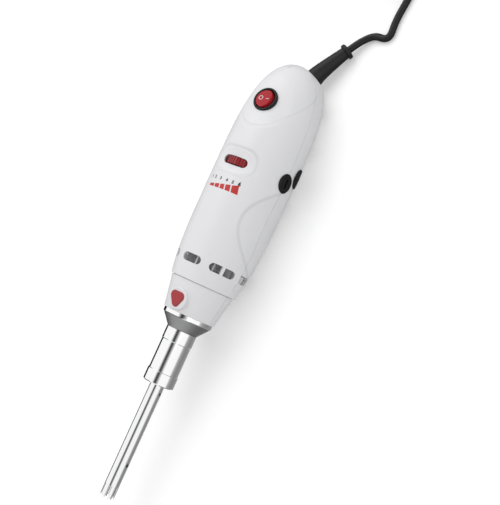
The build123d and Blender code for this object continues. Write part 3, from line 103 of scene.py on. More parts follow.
@dataclass
class GroupBuilder:
    """Builds one shader node group with the sockets that every skin here has.

    Attributes:
        name: Name of the group.
        tree: The group itself.
    """

    name: str
    tree: bpy.types.NodeTree = field(init=False)

    def __post_init__(self) -> None:
        """Makes the group and its usual sockets."""
        self.tree = bpy.data.node_groups.new(self.name, "ShaderNodeTree")
        self.inputs = self.tree.nodes.new("NodeGroupInput")
        self.outputs = self.tree.nodes.new("NodeGroupOutput")
        self.takes("Colour", Sockets.COLOUR, (0.5, 0.5, 0.5, 1.0))
        self.takes("Shade", Sockets.FLOAT, 0.05)
        self.takes("Roughness", Sockets.FLOAT, 0.4)
        self.takes("Spread", Sockets.FLOAT, 0.1)
        self.takes("Scale", Sockets.FLOAT, 1000.0)
        self.takes("Relief", Sockets.FLOAT, 0.000004)
        results = {"Colour": Sockets.COLOUR, "Roughness": Sockets.FLOAT, "Height": Sockets.FLOAT}
        for name, kind in results.items():
            self.tree.interface.new_socket(name, in_out="OUTPUT", socket_type=kind.value)

    def takes(self, name: str, kind: Sockets, default: object) -> None:
        """Adds an input socket.

        Args:
            name: Name of the socket.
            kind: Type of the socket.
            default: Its value when nothing is linked.
        """
        socket = self.tree.interface.new_socket(name, in_out="INPUT", socket_type=kind.value)
        socket.default_value = default

    def given(self, name: str) -> bpy.types.NodeSocket:
        """Socket that carries one of the group's inputs."""
        return self.inputs.outputs[name]

    def give(self, name: str, source: bpy.types.NodeSocket) -> None:
        """Feeds one of the group's outputs."""
        self.link(source, self.outputs.inputs[name])

    def node(self, kind: str, **settings: object) -> bpy.types.Node:
        """Adds a node and sets its properties.

        Args:
            kind: Node type, without its ShaderNode prefix.
            **settings: Properties of the node.

        Returns:
            The new node.
        """
        made = self.tree.nodes.new("ShaderNode" + kind)
        for key, value in settings.items():
            setattr(made, key, value)
        return made

    def link(self, source: bpy.types.NodeSocket, target: bpy.types.NodeSocket) -> None:
        """Links two sockets."""
        self.tree.links.new(source, target)

    def maths(self, operation: str, first: object, second: object = 0.0) -> bpy.types.NodeSocket:
        """Adds a Math node.

        Args:
            operation: Math operation.
            first: Socket or number.
            second: Socket or number.

        Returns:
            The node's output socket.
        """
        made = self.node("Math", operation=operation)
        for slot, value in enumerate((first, second)):
            if isinstance(value, bpy.types.NodeSocket):
                self.link(value, made.inputs[slot])
            else:
                made.inputs[slot].default_value = value
        return made.outputs[0]

    def length(self, first: object, second: object) -> bpy.types.NodeSocket:
        """Length of a two-part vector: the root of the sum of the squares.

        Args:
            first: Socket or number.
            second: Socket or number.

        Returns:
            Socket with the length.
        """
        squares = self.maths("ADD", self.maths("POWER", first, 2.0), self.maths("POWER", second, 2.0))
        return self.maths("SQRT", squares)

    def place(self) -> bpy.types.NodeSocket:
        """Shaded point in the object's own coordinates, in metres."""
        return self.node("TexCoord").outputs["Object"]

    def noise(self, share: float, detail: float) -> bpy.types.NodeSocket:
        """Noise in the object's own coordinates.

        Args:
            share: Its scale as a share of the group's Scale.
            detail: Its octaves.

        Returns:
            Socket with a value from 0 to 1.
        """
        made = self.node("TexNoise")
        made.inputs["Detail"].default_value = detail
        self.link(self.place(), made.inputs["Vector"])
        self.link(self.maths("MULTIPLY", self.given("Scale"), share), made.inputs["Scale"])
        return made.outputs["Fac"]

    def bands(self, direction: str, wobble: float, detail: float) -> bpy.types.NodeSocket:
        """Fine bands across one direction: a sine of the distance, bent by a little noise.

        Args:
            direction: Axis that the bands follow one after another, X, Y or DIAGONAL.
            wobble: How far the bands stray.
            detail: Octaves of the noise that bends them.

        Returns:
            Socket with a value from 0 to 1.
        """
        made = self.node("TexWave", wave_type="BANDS", bands_direction=direction)
        made.inputs["Distortion"].default_value = wobble
        made.inputs["Detail"].default_value = detail
        self.link(self.place(), made.inputs["Vector"])
        self.link(self.given("Scale"), made.inputs["Scale"])
        return made.outputs["Fac"]

    def relief(self, mask: bpy.types.NodeSocket) -> bpy.types.NodeSocket:
        """Height in metres: the mask times the group's Relief."""
        return self.maths("MULTIPLY", mask, self.given("Relief"))

    def tint(self, mask: bpy.types.NodeSocket) -> None:
        """Feeds the Colour output: the Colour input, darkened by Shade where the mask is low.

        Args:
            mask: Value from 0 to 1.
        """
        share = self.maths("MULTIPLY", self.maths("SUBTRACT", 1.0, mask), self.given("Shade"))
        mix = self.node("VectorMath", operation="SCALE")
        self.link(self.given("Colour"), mix.inputs[0])
        self.link(self.maths("SUBTRACT", 1.0, share), mix.inputs["Scale"])
        self.give("Colour", mix.outputs[0])

    def roughened(self, mask: bpy.types.NodeSocket) -> bpy.types.NodeSocket:
        """Roughness input plus Spread times the mask less a half.

        Args:
            mask: Value from 0 to 1.

        Returns:
            Socket with the roughness.
        """
        swing = self.maths("MULTIPLY", self.maths("SUBTRACT", mask, 0.5), self.given("Spread"))
        return self.maths("ADD", self.given("Roughness"), swing)


def moulded_group() -> bpy.types.NodeTree:
    """Spark-eroded moulding: fine noise for the height, wide noise for the handling marks."""
    build = GroupBuilder("moulded_skin")
    wide = build.noise(0.02, 2.0)
    build.tint(wide)
    build.give("Roughness", build.roughened(wide))
    build.give("Height", build.relief(build.noise(1.0, 3.0)))
    return build.tree


def banded_group(name: str, direction: str, wobble: float) -> bpy.types.NodeTree:
    """Metal or wire with fine bands across one direction.

    Args:
        name: Name of the group.
        direction: Axis that the bands follow one after another, X, Y or DIAGONAL.
        wobble: How far the bands stray.

    Returns:
        The group.
    """
    build = GroupBuilder(name)
    bands = build.bands(direction, wobble, 1.0)
    build.tint(bands)
    build.give("Roughness", build.roughened(bands))
    build.give("Height", build.relief(bands))
    return build.tree


@dataclass
class ShellSkin:
    """Moulded skin of the housing, with the soft steps where its hollows meet its round form.

    Stations and arcs are in millimetres. An arc is the distance round the body from the middle of
    its front, towards the stand socket's side. Every outline is a signed distance, and the skin
    drops across it by a smooth step. Along each outline the colour also darkens: painted shade
    that stands in for the shade in the crease.

    Attributes:
        radius: Radius of the body.
        hood: Station of the switch, which the hood's hollow starts round.
        hood_reach: Radius of that hollow.
        hood_length: How far its round end is drawn out.
        dial: Station of the dial's dish.
        dial_half: Its half height and half width.
        dial_corner: Its corner radius.
        grip: Station of the finger hollows.
        grip_arc: Arc at which they start.
        grip_bend: How fast their edge bends back, per millimetre.
        step: Drop across an edge.
        softness: Half of an edge's width.
        crease_shade_reach: How far the painted crease shade, a darker line along each edge, reaches to each
            side.
    """

    radius: float = 26.4
    hood: float = 198.8
    hood_reach: float = 19.0
    hood_length: float = 45.0
    dial: float = 153.9
    dial_half: tuple[float, float] = (9.4, 15.8)
    dial_corner: float = 8.0
    grip: float = 120.3
    grip_arc: float = 20.6
    grip_bend: float = 0.0295
    step: float = 0.62
    softness: float = 1.7
    crease_shade_reach: float = 1.3

    def surface_place(self, build: GroupBuilder) -> tuple[bpy.types.NodeSocket, bpy.types.NodeSocket]:
        """Station and arc of the shaded point.

        The arc is the body's radius times the angle of the point about the spindle.

        Args:
            build: The group that is being built.

        Returns:
            Sockets with the station and with the arc's size.
        """
        split = build.node("SeparateXYZ")
        build.link(build.place(), split.inputs[0])
        station = build.maths("ADD", build.maths("MULTIPLY", split.outputs["X"], 1 / MM), MIDDLE)
        height = build.maths("SUBTRACT", split.outputs["Z"], AXIS_HEIGHT * MM)
        angle = build.maths("ABSOLUTE", build.maths("ARCTAN2", split.outputs["Y"], height))
        return station, build.maths("MULTIPLY", angle, self.radius)

    def hood_outline(self, build: GroupBuilder, station: object, arc: object) -> bpy.types.NodeSocket:
        """Distance outside the hood's hollow: a round end about the switch that opens out at 45 degrees.

        Args:
            build: The group that is being built.
            station: Socket with the station.
            arc: Socket with the arc.

        Returns:
            Socket with the signed distance.
        """
        along = build.maths("SUBTRACT", station, self.hood)
        run = build.maths("MULTIPLY", build.maths("ADD", along, arc), math.sqrt(0.5))
        run = build.maths("MINIMUM", build.maths("MAXIMUM", run, 0.0), self.hood_length)
        run = build.maths("MULTIPLY", run, math.sqrt(0.5))
        reach = build.length(build.maths("SUBTRACT", along, run), build.maths("SUBTRACT", arc, run))
        return build.maths("SUBTRACT", reach, self.hood_reach)

    def dial_outline(self, build: GroupBuilder, station: object, arc: object) -> bpy.types.NodeSocket:
        """Distance outside the dial's dish, a rectangle with round corners.

        Args:
            build: The group that is being built.
            station: Socket with the station.
            arc: Socket with the arc.

        Returns:
            Socket with the signed distance.
        """
        along = build.maths("ABSOLUTE", build.maths("SUBTRACT", station, self.dial))
        past = [
            build.maths("MAXIMUM", build.maths("SUBTRACT", away, half - self.dial_corner), 0.0)
            for away, half in zip((along, arc), self.dial_half)
        ]
        return build.maths("SUBTRACT", build.length(*past), self.dial_corner)

    def grip_outline(self, build: GroupBuilder, station: object, arc: object) -> bpy.types.NodeSocket:
        """Distance outside a finger hollow, whose edge is a parabola in station and arc.

        Args:
            build: The group that is being built.
            station: Socket with the station.
            arc: Socket with the arc.

        Returns:
            Socket with the signed distance.
        """
        away = build.maths("SUBTRACT", station, self.grip)
        square = build.maths("POWER", build.maths("ABSOLUTE", away), 2.0)
        edge = build.maths("ADD", build.maths("MULTIPLY", square, self.grip_bend), self.grip_arc)
        slope = build.length(1.0, build.maths("MULTIPLY", away, 2 * self.grip_bend))
        return build.maths("DIVIDE", build.maths("SUBTRACT", edge, arc), slope)

    def eased(self, build: GroupBuilder, outline: bpy.types.NodeSocket) -> bpy.types.NodeSocket:
        """Smooth step from 0 inside an outline to 1 outside it.

        Args:
            build: The group that is being built.
            outline: Signed distance.

        Returns:
            Socket with the value.
        """
        ramp = build.node("MapRange", interpolation_type="SMOOTHSTEP")
        build.link(outline, ramp.inputs["Value"])
        ramp.inputs["From Min"].default_value = -self.softness
        ramp.inputs["From Max"].default_value = self.softness
        return ramp.outputs["Result"]

    def group(self) -> bpy.types.NodeTree:
        """Builds the node group."""
        build = GroupBuilder("housing_skin")
        spot = self.surface_place(build)
        hollows = (self.hood_outline, self.dial_outline, self.grip_outline)
        outlines = [hollow(build, *spot) for hollow in hollows]
        height = build.relief(build.noise(1.0, 3.0))
        for outline in outlines:
            rise = build.maths("MULTIPLY", self.eased(build, outline), self.step * MM)
            height = build.maths("ADD", height, rise)
        build.give("Height", height)
        # painted shade: the colour darkens in a line along each hollow's outline, standing in for the shade
        # in its crease; the wide noise adds random handling marks on top.
        nearest = build.maths("ABSOLUTE", outlines[0])
        for outline in outlines[1:]:
            nearest = build.maths("MINIMUM", nearest, build.maths("ABSOLUTE", outline))
        crease_shade = build.maths("MINIMUM", build.maths("DIVIDE", nearest, self.crease_shade_reach), 1.0)
        wide = build.noise(0.02, 2.0)
        marks = build.maths("ADD", build.maths("MULTIPLY", wide, 0.3), 0.7)
        build.tint(build.maths("MULTIPLY", crease_shade, marks))
        build.give("Roughness", build.roughened(wide))
        log.info("housing skin: %d soft steps", len(outlines))
        return build.tree


def two_tone_group(limit: float) -> bpy.types.NodeTree:
    """Turned metal that is polished past one station and satin before it.

    Args:
        limit: That station, mm.

    Returns:
        The group.
    """
    build = GroupBuilder("turned_two_tone")
    build.takes("Bright Colour", Sockets.COLOUR, (0.95, 0.95, 0.95, 1.0))
    build.takes("Bright Roughness", Sockets.FLOAT, 0.1)
    split = build.node("SeparateXYZ")
    build.link(build.place(), split.inputs[0])
    past = build.maths("GREATER_THAN", split.outputs["X"], (limit - MIDDLE) * MM)
    bands = build.bands("X", 0.6, 2.0)
    sides = {
        "Colour": ("RGBA", build.given("Colour"), build.given("Bright Colour")),
        "Roughness": ("FLOAT", build.roughened(bands), build.given("Bright Roughness")),
    }
    for name, (kind, satin, bright) in sides.items():
        mix = build.node("Mix", data_type=kind)
        build.link(past, mix.inputs["Factor"])
        build.link(satin, mix.inputs["A"])
        build.link(bright, mix.inputs["B"])
        build.give(name, mix.outputs["Result"])
    build.give("Height", build.maths("MULTIPLY", build.relief(bands), build.maths("SUBTRACT", 1.0, past)))
    return build.tree


class Texture(Enum):
    """What a finish's surface is covered with."""

    HOUSING = "housing"
    MOULDED = "moulded"
    TURNED = "turned"
    TWO_TONE = "two tone"
    WOUND = "wound"
    DRAWN = "drawn"


GROUPS: dict[Texture, bpy.types.NodeTree] = {
    Texture.HOUSING: ShellSkin().group(),
    Texture.MOULDED: moulded_group(),
    Texture.TURNED: banded_group("turned_rings", "X", 0.6),
    Texture.TWO_TONE: two_tone_group(46.2),
    Texture.WOUND: banded_group("wound_wire", "Y", 0.3),
    Texture.DRAWN: banded_group("drawn_lines", "DIAGONAL", 2.0),
}


# ------------------------------------------------------------------------------ finishes
@dataclass(frozen=True)
class Finish:
    """One procedural material.

    Attributes:
        name: Name of the material.
        colour: Base colour, linear.
        texture: Pattern of its surface.
        scale: Scale of the pattern, per metre.
        relief: Depth of the pattern, mm.
        roughness: Middle of its roughness.
        spread: How much the roughness varies.
        shade: How much the colour darkens in the pattern.
        metallic: 1 for bare metal.
        coat: Weight of a clear gloss.
        coat_roughness: Roughness of that gloss.
        specular: Specular level of a plastic.
    """

    name: str
    colour: tuple[float, float, float]
    texture: Texture = Texture.MOULDED
    scale: float = 2600.0
    relief: float = 0.004
    roughness: float = 0.4
    spread: float = 0.08
    shade: float = 0.03
    metallic: float = 0.0
    coat: float = 0.0
    coat_roughness: float = 0.1
    specular: float = 0.5

    def material(self) -> bpy.types.Material:
        """Builds the material, or returns it if it is there already."""
        if self.name in bpy.data.materials:
            return bpy.data.materials[self.name]
        made = bpy.data.materials.new(self.name)
        made.use_nodes = True
        tree = made.node_tree
        shader = tree.nodes["Principled BSDF"]
        skin = tree.nodes.new("ShaderNodeGroup")
        skin.node_tree = GROUPS[self.texture]
        bump = tree.nodes.new("ShaderNodeBump")
        settings = {
            shader: {
                "Metallic": self.metallic,
                "Coat Weight": self.coat,
                "Coat Roughness": self.coat_roughness,
                "Specular IOR Level": self.specular,
            },
            skin: {
                "Colour": (*self.colour, 1.0),
                "Shade": self.shade,
                "Roughness": self.roughness,
                "Spread": self.spread,
                "Scale": self.scale,
                "Relief": self.relief * MM,
            },
            bump: {"Strength": 1.0, "Distance": 1.0},
        }
        for node, values in settings.items():
            for name, value in values.items():
                node.inputs[name].default_value = value
        tree.links.new(skin.outputs["Colour"], shader.inputs["Base Color"])
        tree.links.new(skin.outputs["Roughness"], shader.inputs["Roughness"])
        tree.links.new(skin.outputs["Height"], bump.inputs["Height"])
        tree.links.new(bump.outputs["Normal"], shader.inputs["Normal"])
        return made


# The shell's shade sets how dark the painted crease shade along the hollows' outlines is, as well as its
# random handling marks.
SHELL = Finish(
    "shell_moulding", (0.735, 0.735, 0.75), Texture.HOUSING, 3200, 0.003, 0.42, 0.08, 0.095, specular=0.4
)
SCALE_RED = Finish("scale_print", (0.50, 0.022, 0.018), relief=0.001, roughness=0.45)
NUMERAL_BLACK = Finish("numeral_print", (0.02, 0.02, 0.025), relief=0.001, roughness=0.5)
BUTTON_RED = Finish(
    "button_moulding", (0.37, 0.045, 0.05), relief=0.004, roughness=0.55, shade=0.06, specular=0.3
)
WHEEL_RED = Finish("wheel_moulding", (0.28, 0.008, 0.014), relief=0.003, roughness=0.34, shade=0.1)
ROCKER_RED = Finish("rocker_moulding", (0.36, 0.008, 0.016), relief=0.001, roughness=0.34, specular=0.2)
MARK_WHITE = Finish("mark_print", (0.72, 0.55, 0.55), relief=0.001, roughness=0.5)
BLACK = Finish(
    "black_moulding", (0.008, 0.008, 0.009), relief=0.004, roughness=0.45, shade=0.15, specular=0.22
)
RUBBER = Finish(
    "boot_rubber", (0.012, 0.012, 0.012), scale=2200, relief=0.006, roughness=0.5, shade=0.2, specular=0.3
)
SHEATH = Finish(
    "cord_sheath", (0.009, 0.009, 0.010), scale=1800, relief=0.003, roughness=0.4, shade=0.15, specular=0.3
)
CHROME = Finish(
    "polished_plating", (0.95, 0.95, 0.955), Texture.TURNED, 900, 0.0001, 0.11, 0.03, 0.02, metallic=1.0
)
NOSE_METAL = Finish(
    "two_tone_turning", (0.33, 0.33, 0.335), Texture.TWO_TONE, 1500, 0.0012, 0.46, 0.10, 0.08, metallic=1.0
)
STAINLESS = Finish(
    "polished_tube", (0.92, 0.92, 0.925), Texture.TURNED, 700, 0.0001, 0.13, 0.03, 0.03, metallic=1.0
)
STEEL = Finish("ground_steel", (0.50, 0.50, 0.51), Texture.TURNED, 1400, 0.001, 0.28, 0.1, 0.1, metallic=1.0)
ALUMINIUM = Finish(
    "plain_aluminium", (0.62, 0.62, 0.63), Texture.DRAWN, 500, 0.001, 0.35, 0.1, 0.06, metallic=1.0
)
FAN_GREY = Finish("fan_moulding", (0.86, 0.86, 0.87), scale=1800, relief=0.004, roughness=0.4, shade=0.12)
BRASS = Finish("plain_brass", (0.70, 0.50, 0.20), Texture.DRAWN, 500, 0.001, 0.3, 0.1, 0.1, metallic=1.0)
LAMINATION = Finish(
    "laminations", (0.30, 0.30, 0.31), Texture.TURNED, 620, 0.03, 0.42, 0.15, 0.5, metallic=0.8
)
COPPER = Finish("enamelled_wire", (0.50, 0.19, 0.07), Texture.WOUND, 600, 0.08, 0.3, 0.1, 0.55, metallic=0.85)
BARS = Finish(
    "commutator_bars", (0.60, 0.30, 0.16), Texture.TURNED, 900, 0.002, 0.25, 0.1, 0.12, metallic=1.0
)
CARBON = Finish("carbon_block", (0.03, 0.03, 0.032), scale=1500, relief=0.01, roughness=0.7, shade=0.3)
BOARD = Finish(
    "board_lacquer", (0.03, 0.16, 0.07), scale=900, relief=0.004, roughness=0.35, shade=0.2, coat=0.3
)
WAXY = Finish("waxy_bush", (0.78, 0.78, 0.75), relief=0.002, roughness=0.5)


# ------------------------------------------------------------------------------ mesh helpers
def new_piece(
    name: str, points: np.ndarray, faces: np.ndarray, finish: Finish, body: str
) -> bpy.types.Object:
    """Mesh object in the row frame that rides on a body.

    Args:
        name: Name of the piece.
        points: Row frame points, in metres.
        faces: Array of point indices, one row per face.
        finish: Finish of the piece.
        body: Body that it rides on.

    Returns:
        The piece.
    """
    mesh = bpy.data.meshes.new(name)
    mesh.from_pydata(points.tolist(), [], faces.tolist())
    mesh.materials.append(finish.material())
    mesh.polygons.foreach_set("use_smooth", np.ones(len(mesh.polygons), dtype=bool))
    mesh.update()
    piece = bpy.data.objects.new(name, mesh)
    bpy.context.scene.collection.objects.link(piece)
    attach(piece, body)
    log.info("piece %s rides on %s", name, body)
    return piece


def grid_faces(rows: int, columns: int, wrap: bool = False) -> np.ndarray:
    """Quads of a grid of points that is stored row by row.

    Args:
        rows: Rows of points.
        columns: Points in a row.
        wrap: Whether each row closes on itself.

    Returns:
        Array of four indices per quad.
    """
    spans = columns if wrap else columns - 1
    row, column = np.meshgrid(np.arange(rows - 1), np.arange(spans), indexing="ij")
    after = (column + 1) % columns
    this, following = row * columns, (row + 1) * columns
    corners = (this + column, this + after, following + after, following + column)
    return np.stack([corner.ravel() for corner in corners], axis=1)


# ------------------------------------------------------------------------------ studio
def seen_directly(tree: bpy.types.NodeTree) -> bpy.types.NodeSocket:
    """Mask that is 1 in the camera's view and in mirrors.

    Args:
        tree: Node tree of a material or world.

    Returns:
        Socket with the mask.
    """
    path = tree.nodes.new("ShaderNodeLightPath")
    seen = tree.nodes.new("ShaderNodeMath")
    seen.operation = "MAXIMUM"
    tree.links.new(path.outputs["Is Camera Ray"], seen.inputs[0])
    tree.links.new(path.outputs["Is Glossy Ray"], seen.inputs[1])
    return seen.outputs[0]


@dataclass
class Studio:
    """Camera, lamps, floor and dark cards that polished metal mirrors.

    Attributes:
        camera_at: Place of the camera, m.
        camera_turn: Its rotation about X, Y and Z, degrees.
        lens: Focal length on a 36 mm sensor.
        key_at: Place of the main lamp, m.
        key_power: Its power, W.
        fill_at: Place of the lamp on the other side, m.
        fill_power: Its power, W.
        ambient: World's strength on matt surfaces.
        floor_lift: What the floor adds to itself in the camera's and mirrors' view.
        strip_reach: X of both ends of the card over the tool, m.
        bench_reach: How far the cards on the bench reach to each side, m.
        bench_gap: Their height over the bench, m.
    """

    camera_at: tuple[float, float, float] = (-0.02035, -0.37456, 0.5591)
    camera_turn: tuple[float, float, float] = (17.817, 28.991, -61.875)
    lens: float = 69.5
    key_at: tuple[float, float, float] = (0.75, 0.55, 1.15)
    key_power: float = 7.5
    fill_at: tuple[float, float, float] = (0.35, -1.0, 0.75)
    fill_power: float = 1.0
    ambient: float = 0.80
    floor_lift: float = 0.2
    strip_reach: tuple[float, float] = (-1.3, 1.4)
    bench_reach: float = 0.6
    bench_gap: float = 0.0004

    def camera(self) -> None:
        """Places the camera."""
        data = bpy.data.cameras.new("camera")
        data.lens = self.lens
        data.sensor_width = 36.0
        data.clip_start = 0.01
        camera = bpy.data.objects.new("camera", data)
        camera.location = self.camera_at
        camera.rotation_euler = Euler([math.radians(turn) for turn in self.camera_turn])
        bpy.context.scene.collection.objects.link(camera)
        bpy.context.scene.camera = camera

    def lamp(
        self, name: str, at: tuple[float, float, float], power: float, size: tuple[float, float]
    ) -> None:
        """Area lamp that faces the tool.

        Args:
            name: Name of the lamp.
            at: Its place, m.
            power: Its power, W.
            size: Its size across and along, m.
        """
        data = bpy.data.lights.new(name, "AREA")
        data.shape = "RECTANGLE"
        data.size, data.size_y = size
        data.energy = power
        lamp = bpy.data.objects.new(name, data)
        lamp.location = at
        aim = Vector((0.0, 0.0, 0.02)) - lamp.location
        lamp.rotation_euler = aim.to_track_quat("-Z", "Y").to_euler()
        bpy.context.scene.collection.objects.link(lamp)

    def card(self, name: str, rows: np.ndarray, shades: tuple[float, ...]) -> None:
        """Card along the spindle that only mirrors see, shaded in steps that blend.

        Each row of the card has its own grey, kept as a vertex colour that glows.

        Args:
            name: Name of the card.
            rows: Array of shape (rows, 2, 3) with the two ends of each row, m.
            shades: Grey of each row.
        """
        mesh = bpy.data.meshes.new(name)
        mesh.from_pydata(rows.reshape(-1, 3).tolist(), [], grid_faces(len(shades), 2).tolist())
        colours = mesh.color_attributes.new("grey", "FLOAT_COLOR", "POINT")
        greys = np.repeat(np.array(shades), 2)
        painted = np.stack([greys, greys, greys, np.ones_like(greys)], axis=1)
        colours.data.foreach_set("color", painted.ravel())
        paint = bpy.data.materials.new(name + "_paint")
        paint.use_nodes = True
        tree = paint.node_tree
        glow = tree.nodes["Principled BSDF"]
        glow.inputs["Base Color"].default_value = (0.0, 0.0, 0.0, 1.0)
        glow.inputs["Specular IOR Level"].default_value = 0.0
        glow.inputs["Emission Strength"].default_value = 1.0
        grey = tree.nodes.new("ShaderNodeAttribute")
        grey.attribute_name = "grey"
        tree.links.new(grey.outputs["Color"], glow.inputs["Emission Color"])
        mesh.materials.append(paint)
        card = bpy.data.objects.new(name, mesh)
        for kind in ("camera", "diffuse", "shadow", "transmission"):
            setattr(card, f"visible_{kind}", False)
        bpy.context.scene.collection.objects.link(card)

    def strip_card(self, azimuths: tuple[float, ...], shades: tuple[float, ...], distance: float) -> None:
        """Bowed card over the tool, which gives the plating its dark stripe.

        Args:
            azimuths: Direction of each row about the spindle from straight up, degrees towards -Y.
            shades: Grey of each row.
            distance: Its distance from the spindle, m.
        """
        turn = np.radians(azimuths)
        across = np.stack([np.zeros_like(turn), -np.sin(turn), np.cos(turn)], axis=1) * distance
        across[:, 2] += AXIS_HEIGHT * MM
        ends = np.array([(x, 0.0, 0.0) for x in self.strip_reach])
        self.card("strip_card", across[:, None, :] + ends[None, :, :], shades)

    def bench_card(self, name: str, sides: tuple[float, ...], shades: tuple[float, ...]) -> None:
        """Card that lies on the bench beside the tool, which gives the plating its darker edges.

        Args:
            name: Name of the card.
            sides: Y of each row, m.
            shades: Grey of each row.
        """
        ends = np.array([(x, 0.0, self.bench_gap) for x in (-self.bench_reach, self.bench_reach)])
        across = np.stack([np.zeros(len(sides)), np.array(sides), np.zeros(len(sides))], axis=1)
        self.card(name, across[:, None, :] + ends[None, :, :], shades)

    def floor(self) -> None:
        """Pale bench that shows white where nothing shades it."""
        reach = 4.0
        mesh = bpy.data.meshes.new("bench")
        corners = [(-reach, -reach, 0), (reach, -reach, 0), (reach, reach, 0), (-reach, reach, 0)]
        mesh.from_pydata(corners, [], [(0, 1, 2, 3)])
        paint = bpy.data.materials.new("bench_paint")
        paint.use_nodes = True
        tree = paint.node_tree
        shader = tree.nodes["Principled BSDF"]
        shader.inputs["Base Color"].default_value = (0.86, 0.86, 0.86, 1.0)
        shader.inputs["Roughness"].default_value = 1.0
        shader.inputs["Specular IOR Level"].default_value = 0.0
        shader.inputs["Emission Color"].default_value = (1.0, 1.0, 1.0, 1.0)
        lift = tree.nodes.new("ShaderNodeMath")
        lift.operation = "MULTIPLY"
        lift.inputs[1].default_value = self.floor_lift
        tree.links.new(seen_directly(tree), lift.inputs[0])
        tree.links.new(lift.outputs[0], shader.inputs["Emission Strength"])
        mesh.materials.append(paint)
        bench = bpy.data.objects.new("bench", mesh)
        bpy.context.scene.collection.objects.link(bench)

    def world(self) -> None:
        """World that is white to the eye and to mirrors, and softer on matt surfaces."""
        world = bpy.data.worlds.new("studio")
        bpy.context.scene.world = world
        world.use_nodes = True
        tree = world.node_tree
        sky = tree.nodes["Background"]
        sky.inputs["Color"].default_value = (1.0, 1.0, 1.0, 1.0)
        level = tree.nodes.new("ShaderNodeMapRange")
        level.inputs["To Min"].default_value = self.ambient
        level.inputs["To Max"].default_value = 1.0
        tree.links.new(seen_directly(tree), level.inputs["Value"])
        tree.links.new(level.outputs["Result"], sky.inputs["Strength"])

    def build(self) -> None:
        """Sets up everything but the camera."""
        self.floor()
        self.world()
        self.lamp("key", self.key_at, self.key_power, (1.1, 1.3))
        self.lamp("fill", self.fill_at, self.fill_power, (0.9, 1.4))
        self.strip_card((-10.0, 3.0, 11.0, 20.0, 36.0), (1.0, 0.12, 0.02, 0.22, 1.0), 1.3)
        self.bench_card("edge_card", (0.004, 0.3, 0.7), (0.01, 0.01, 0.3))
        self.bench_card("low_card", (-0.004, -0.014, -0.04, -0.2, -0.7), (0.54, 0.29, 0.23, 0.52, 1.0))
        log.info("studio: lamps, bench and cards")


# ------------------------------------------------------------------------------ sub-assemblies
@dataclass
class SubAssembly:
    """Pieces that belong together, carried over from the model.

    Attributes:
        title: Name of the sub-assembly in the log.
        finishes: Finish of each of its nodes, by name.
    """

    title: str = "sub-assembly"
    finishes: dict[str, Finish] = field(default_factory=dict)

    def dress(self) -> None:
        """Gives its nodes their finishes."""
        for name, finish in self.finishes.items():
            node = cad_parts[name]
            for slot in node.material_slots:
                slot.material = finish.material()
            if not node.material_slots:
                node.data.materials.append(finish.material())
            log.info("%s: %s in %s", self.title, name, finish.name)

    def build(self) -> None:
        """Dresses the sub-assembly, which has nothing of its own to add."""
        self.dress()


def finish_table(**given: Finish) -> dict[str, Finish]:
    """Default table of finishes for a sub-assembly.

    Args:
        given: Finish of each node, by the node's name.

    Returns:
        A field that holds its own copy of the table.
    """
    return field(default_factory=lambda: dict(given))


@dataclass
class Housing(SubAssembly):
    """The two shells with their screws, the metal nose and the stand's socket."""

    title: str = "housing"
    finishes: dict[str, Finish] = finish_table(
        front_shell=SHELL,
        rear_shell=SHELL,
        housing_screws=STEEL,
        nose_ring=NOSE_METAL,
        coupling_sleeve=CHROME,
        stand_socket=BLACK,
    )


@dataclass
class Generator(SubAssembly):
    """The tube that pulls off the nose, with its collar, and the rotor inside it."""

    title: str = "generator"
    finishes: dict[str, Finish] = finish_table(
        generator_collar=CHROME,
        collar_ring=CHROME,
        o_ring=RUBBER,
        stator_tube=STAINLESS,
        bushes=WAXY,
        rotor_shaft=STAINLESS,
        rotor_head=STAINLESS,
    )


@dataclass
class Motor(SubAssembly):
    """Field, armature, fan and bearings."""

    title: str = "motor"
    finishes: dict[str, Finish] = finish_table(
        field_core=LAMINATION,
        field_coils=COPPER,
        front_bearing=STEEL,
        rear_bearing=STEEL,
        spindle=STEEL,
        lock_collar=STEEL,
        front_race=STEEL,
        rear_race=STEEL,
        cooling_fan=FAN_GREY,
        armature_core=LAMINATION,
        armature_windings=COPPER,
        commutator=BARS,
    )


@dataclass
class BrushGear(SubAssembly):
    """Holder, brush, spring and slotted cap on each side of the commutator."""

    title: str = "brush gear"
    finishes: dict[str, Finish] = finish_table(
        **{
            f"{piece}_{side}": finish
            for piece, finish in {
                "brush_holder": BRASS,
                "carbon_brush": CARBON,
                "brush_spring": STEEL,
                "brush_cap": BLACK,
            }.items()
            for side in ("right", "left")
        }
    )


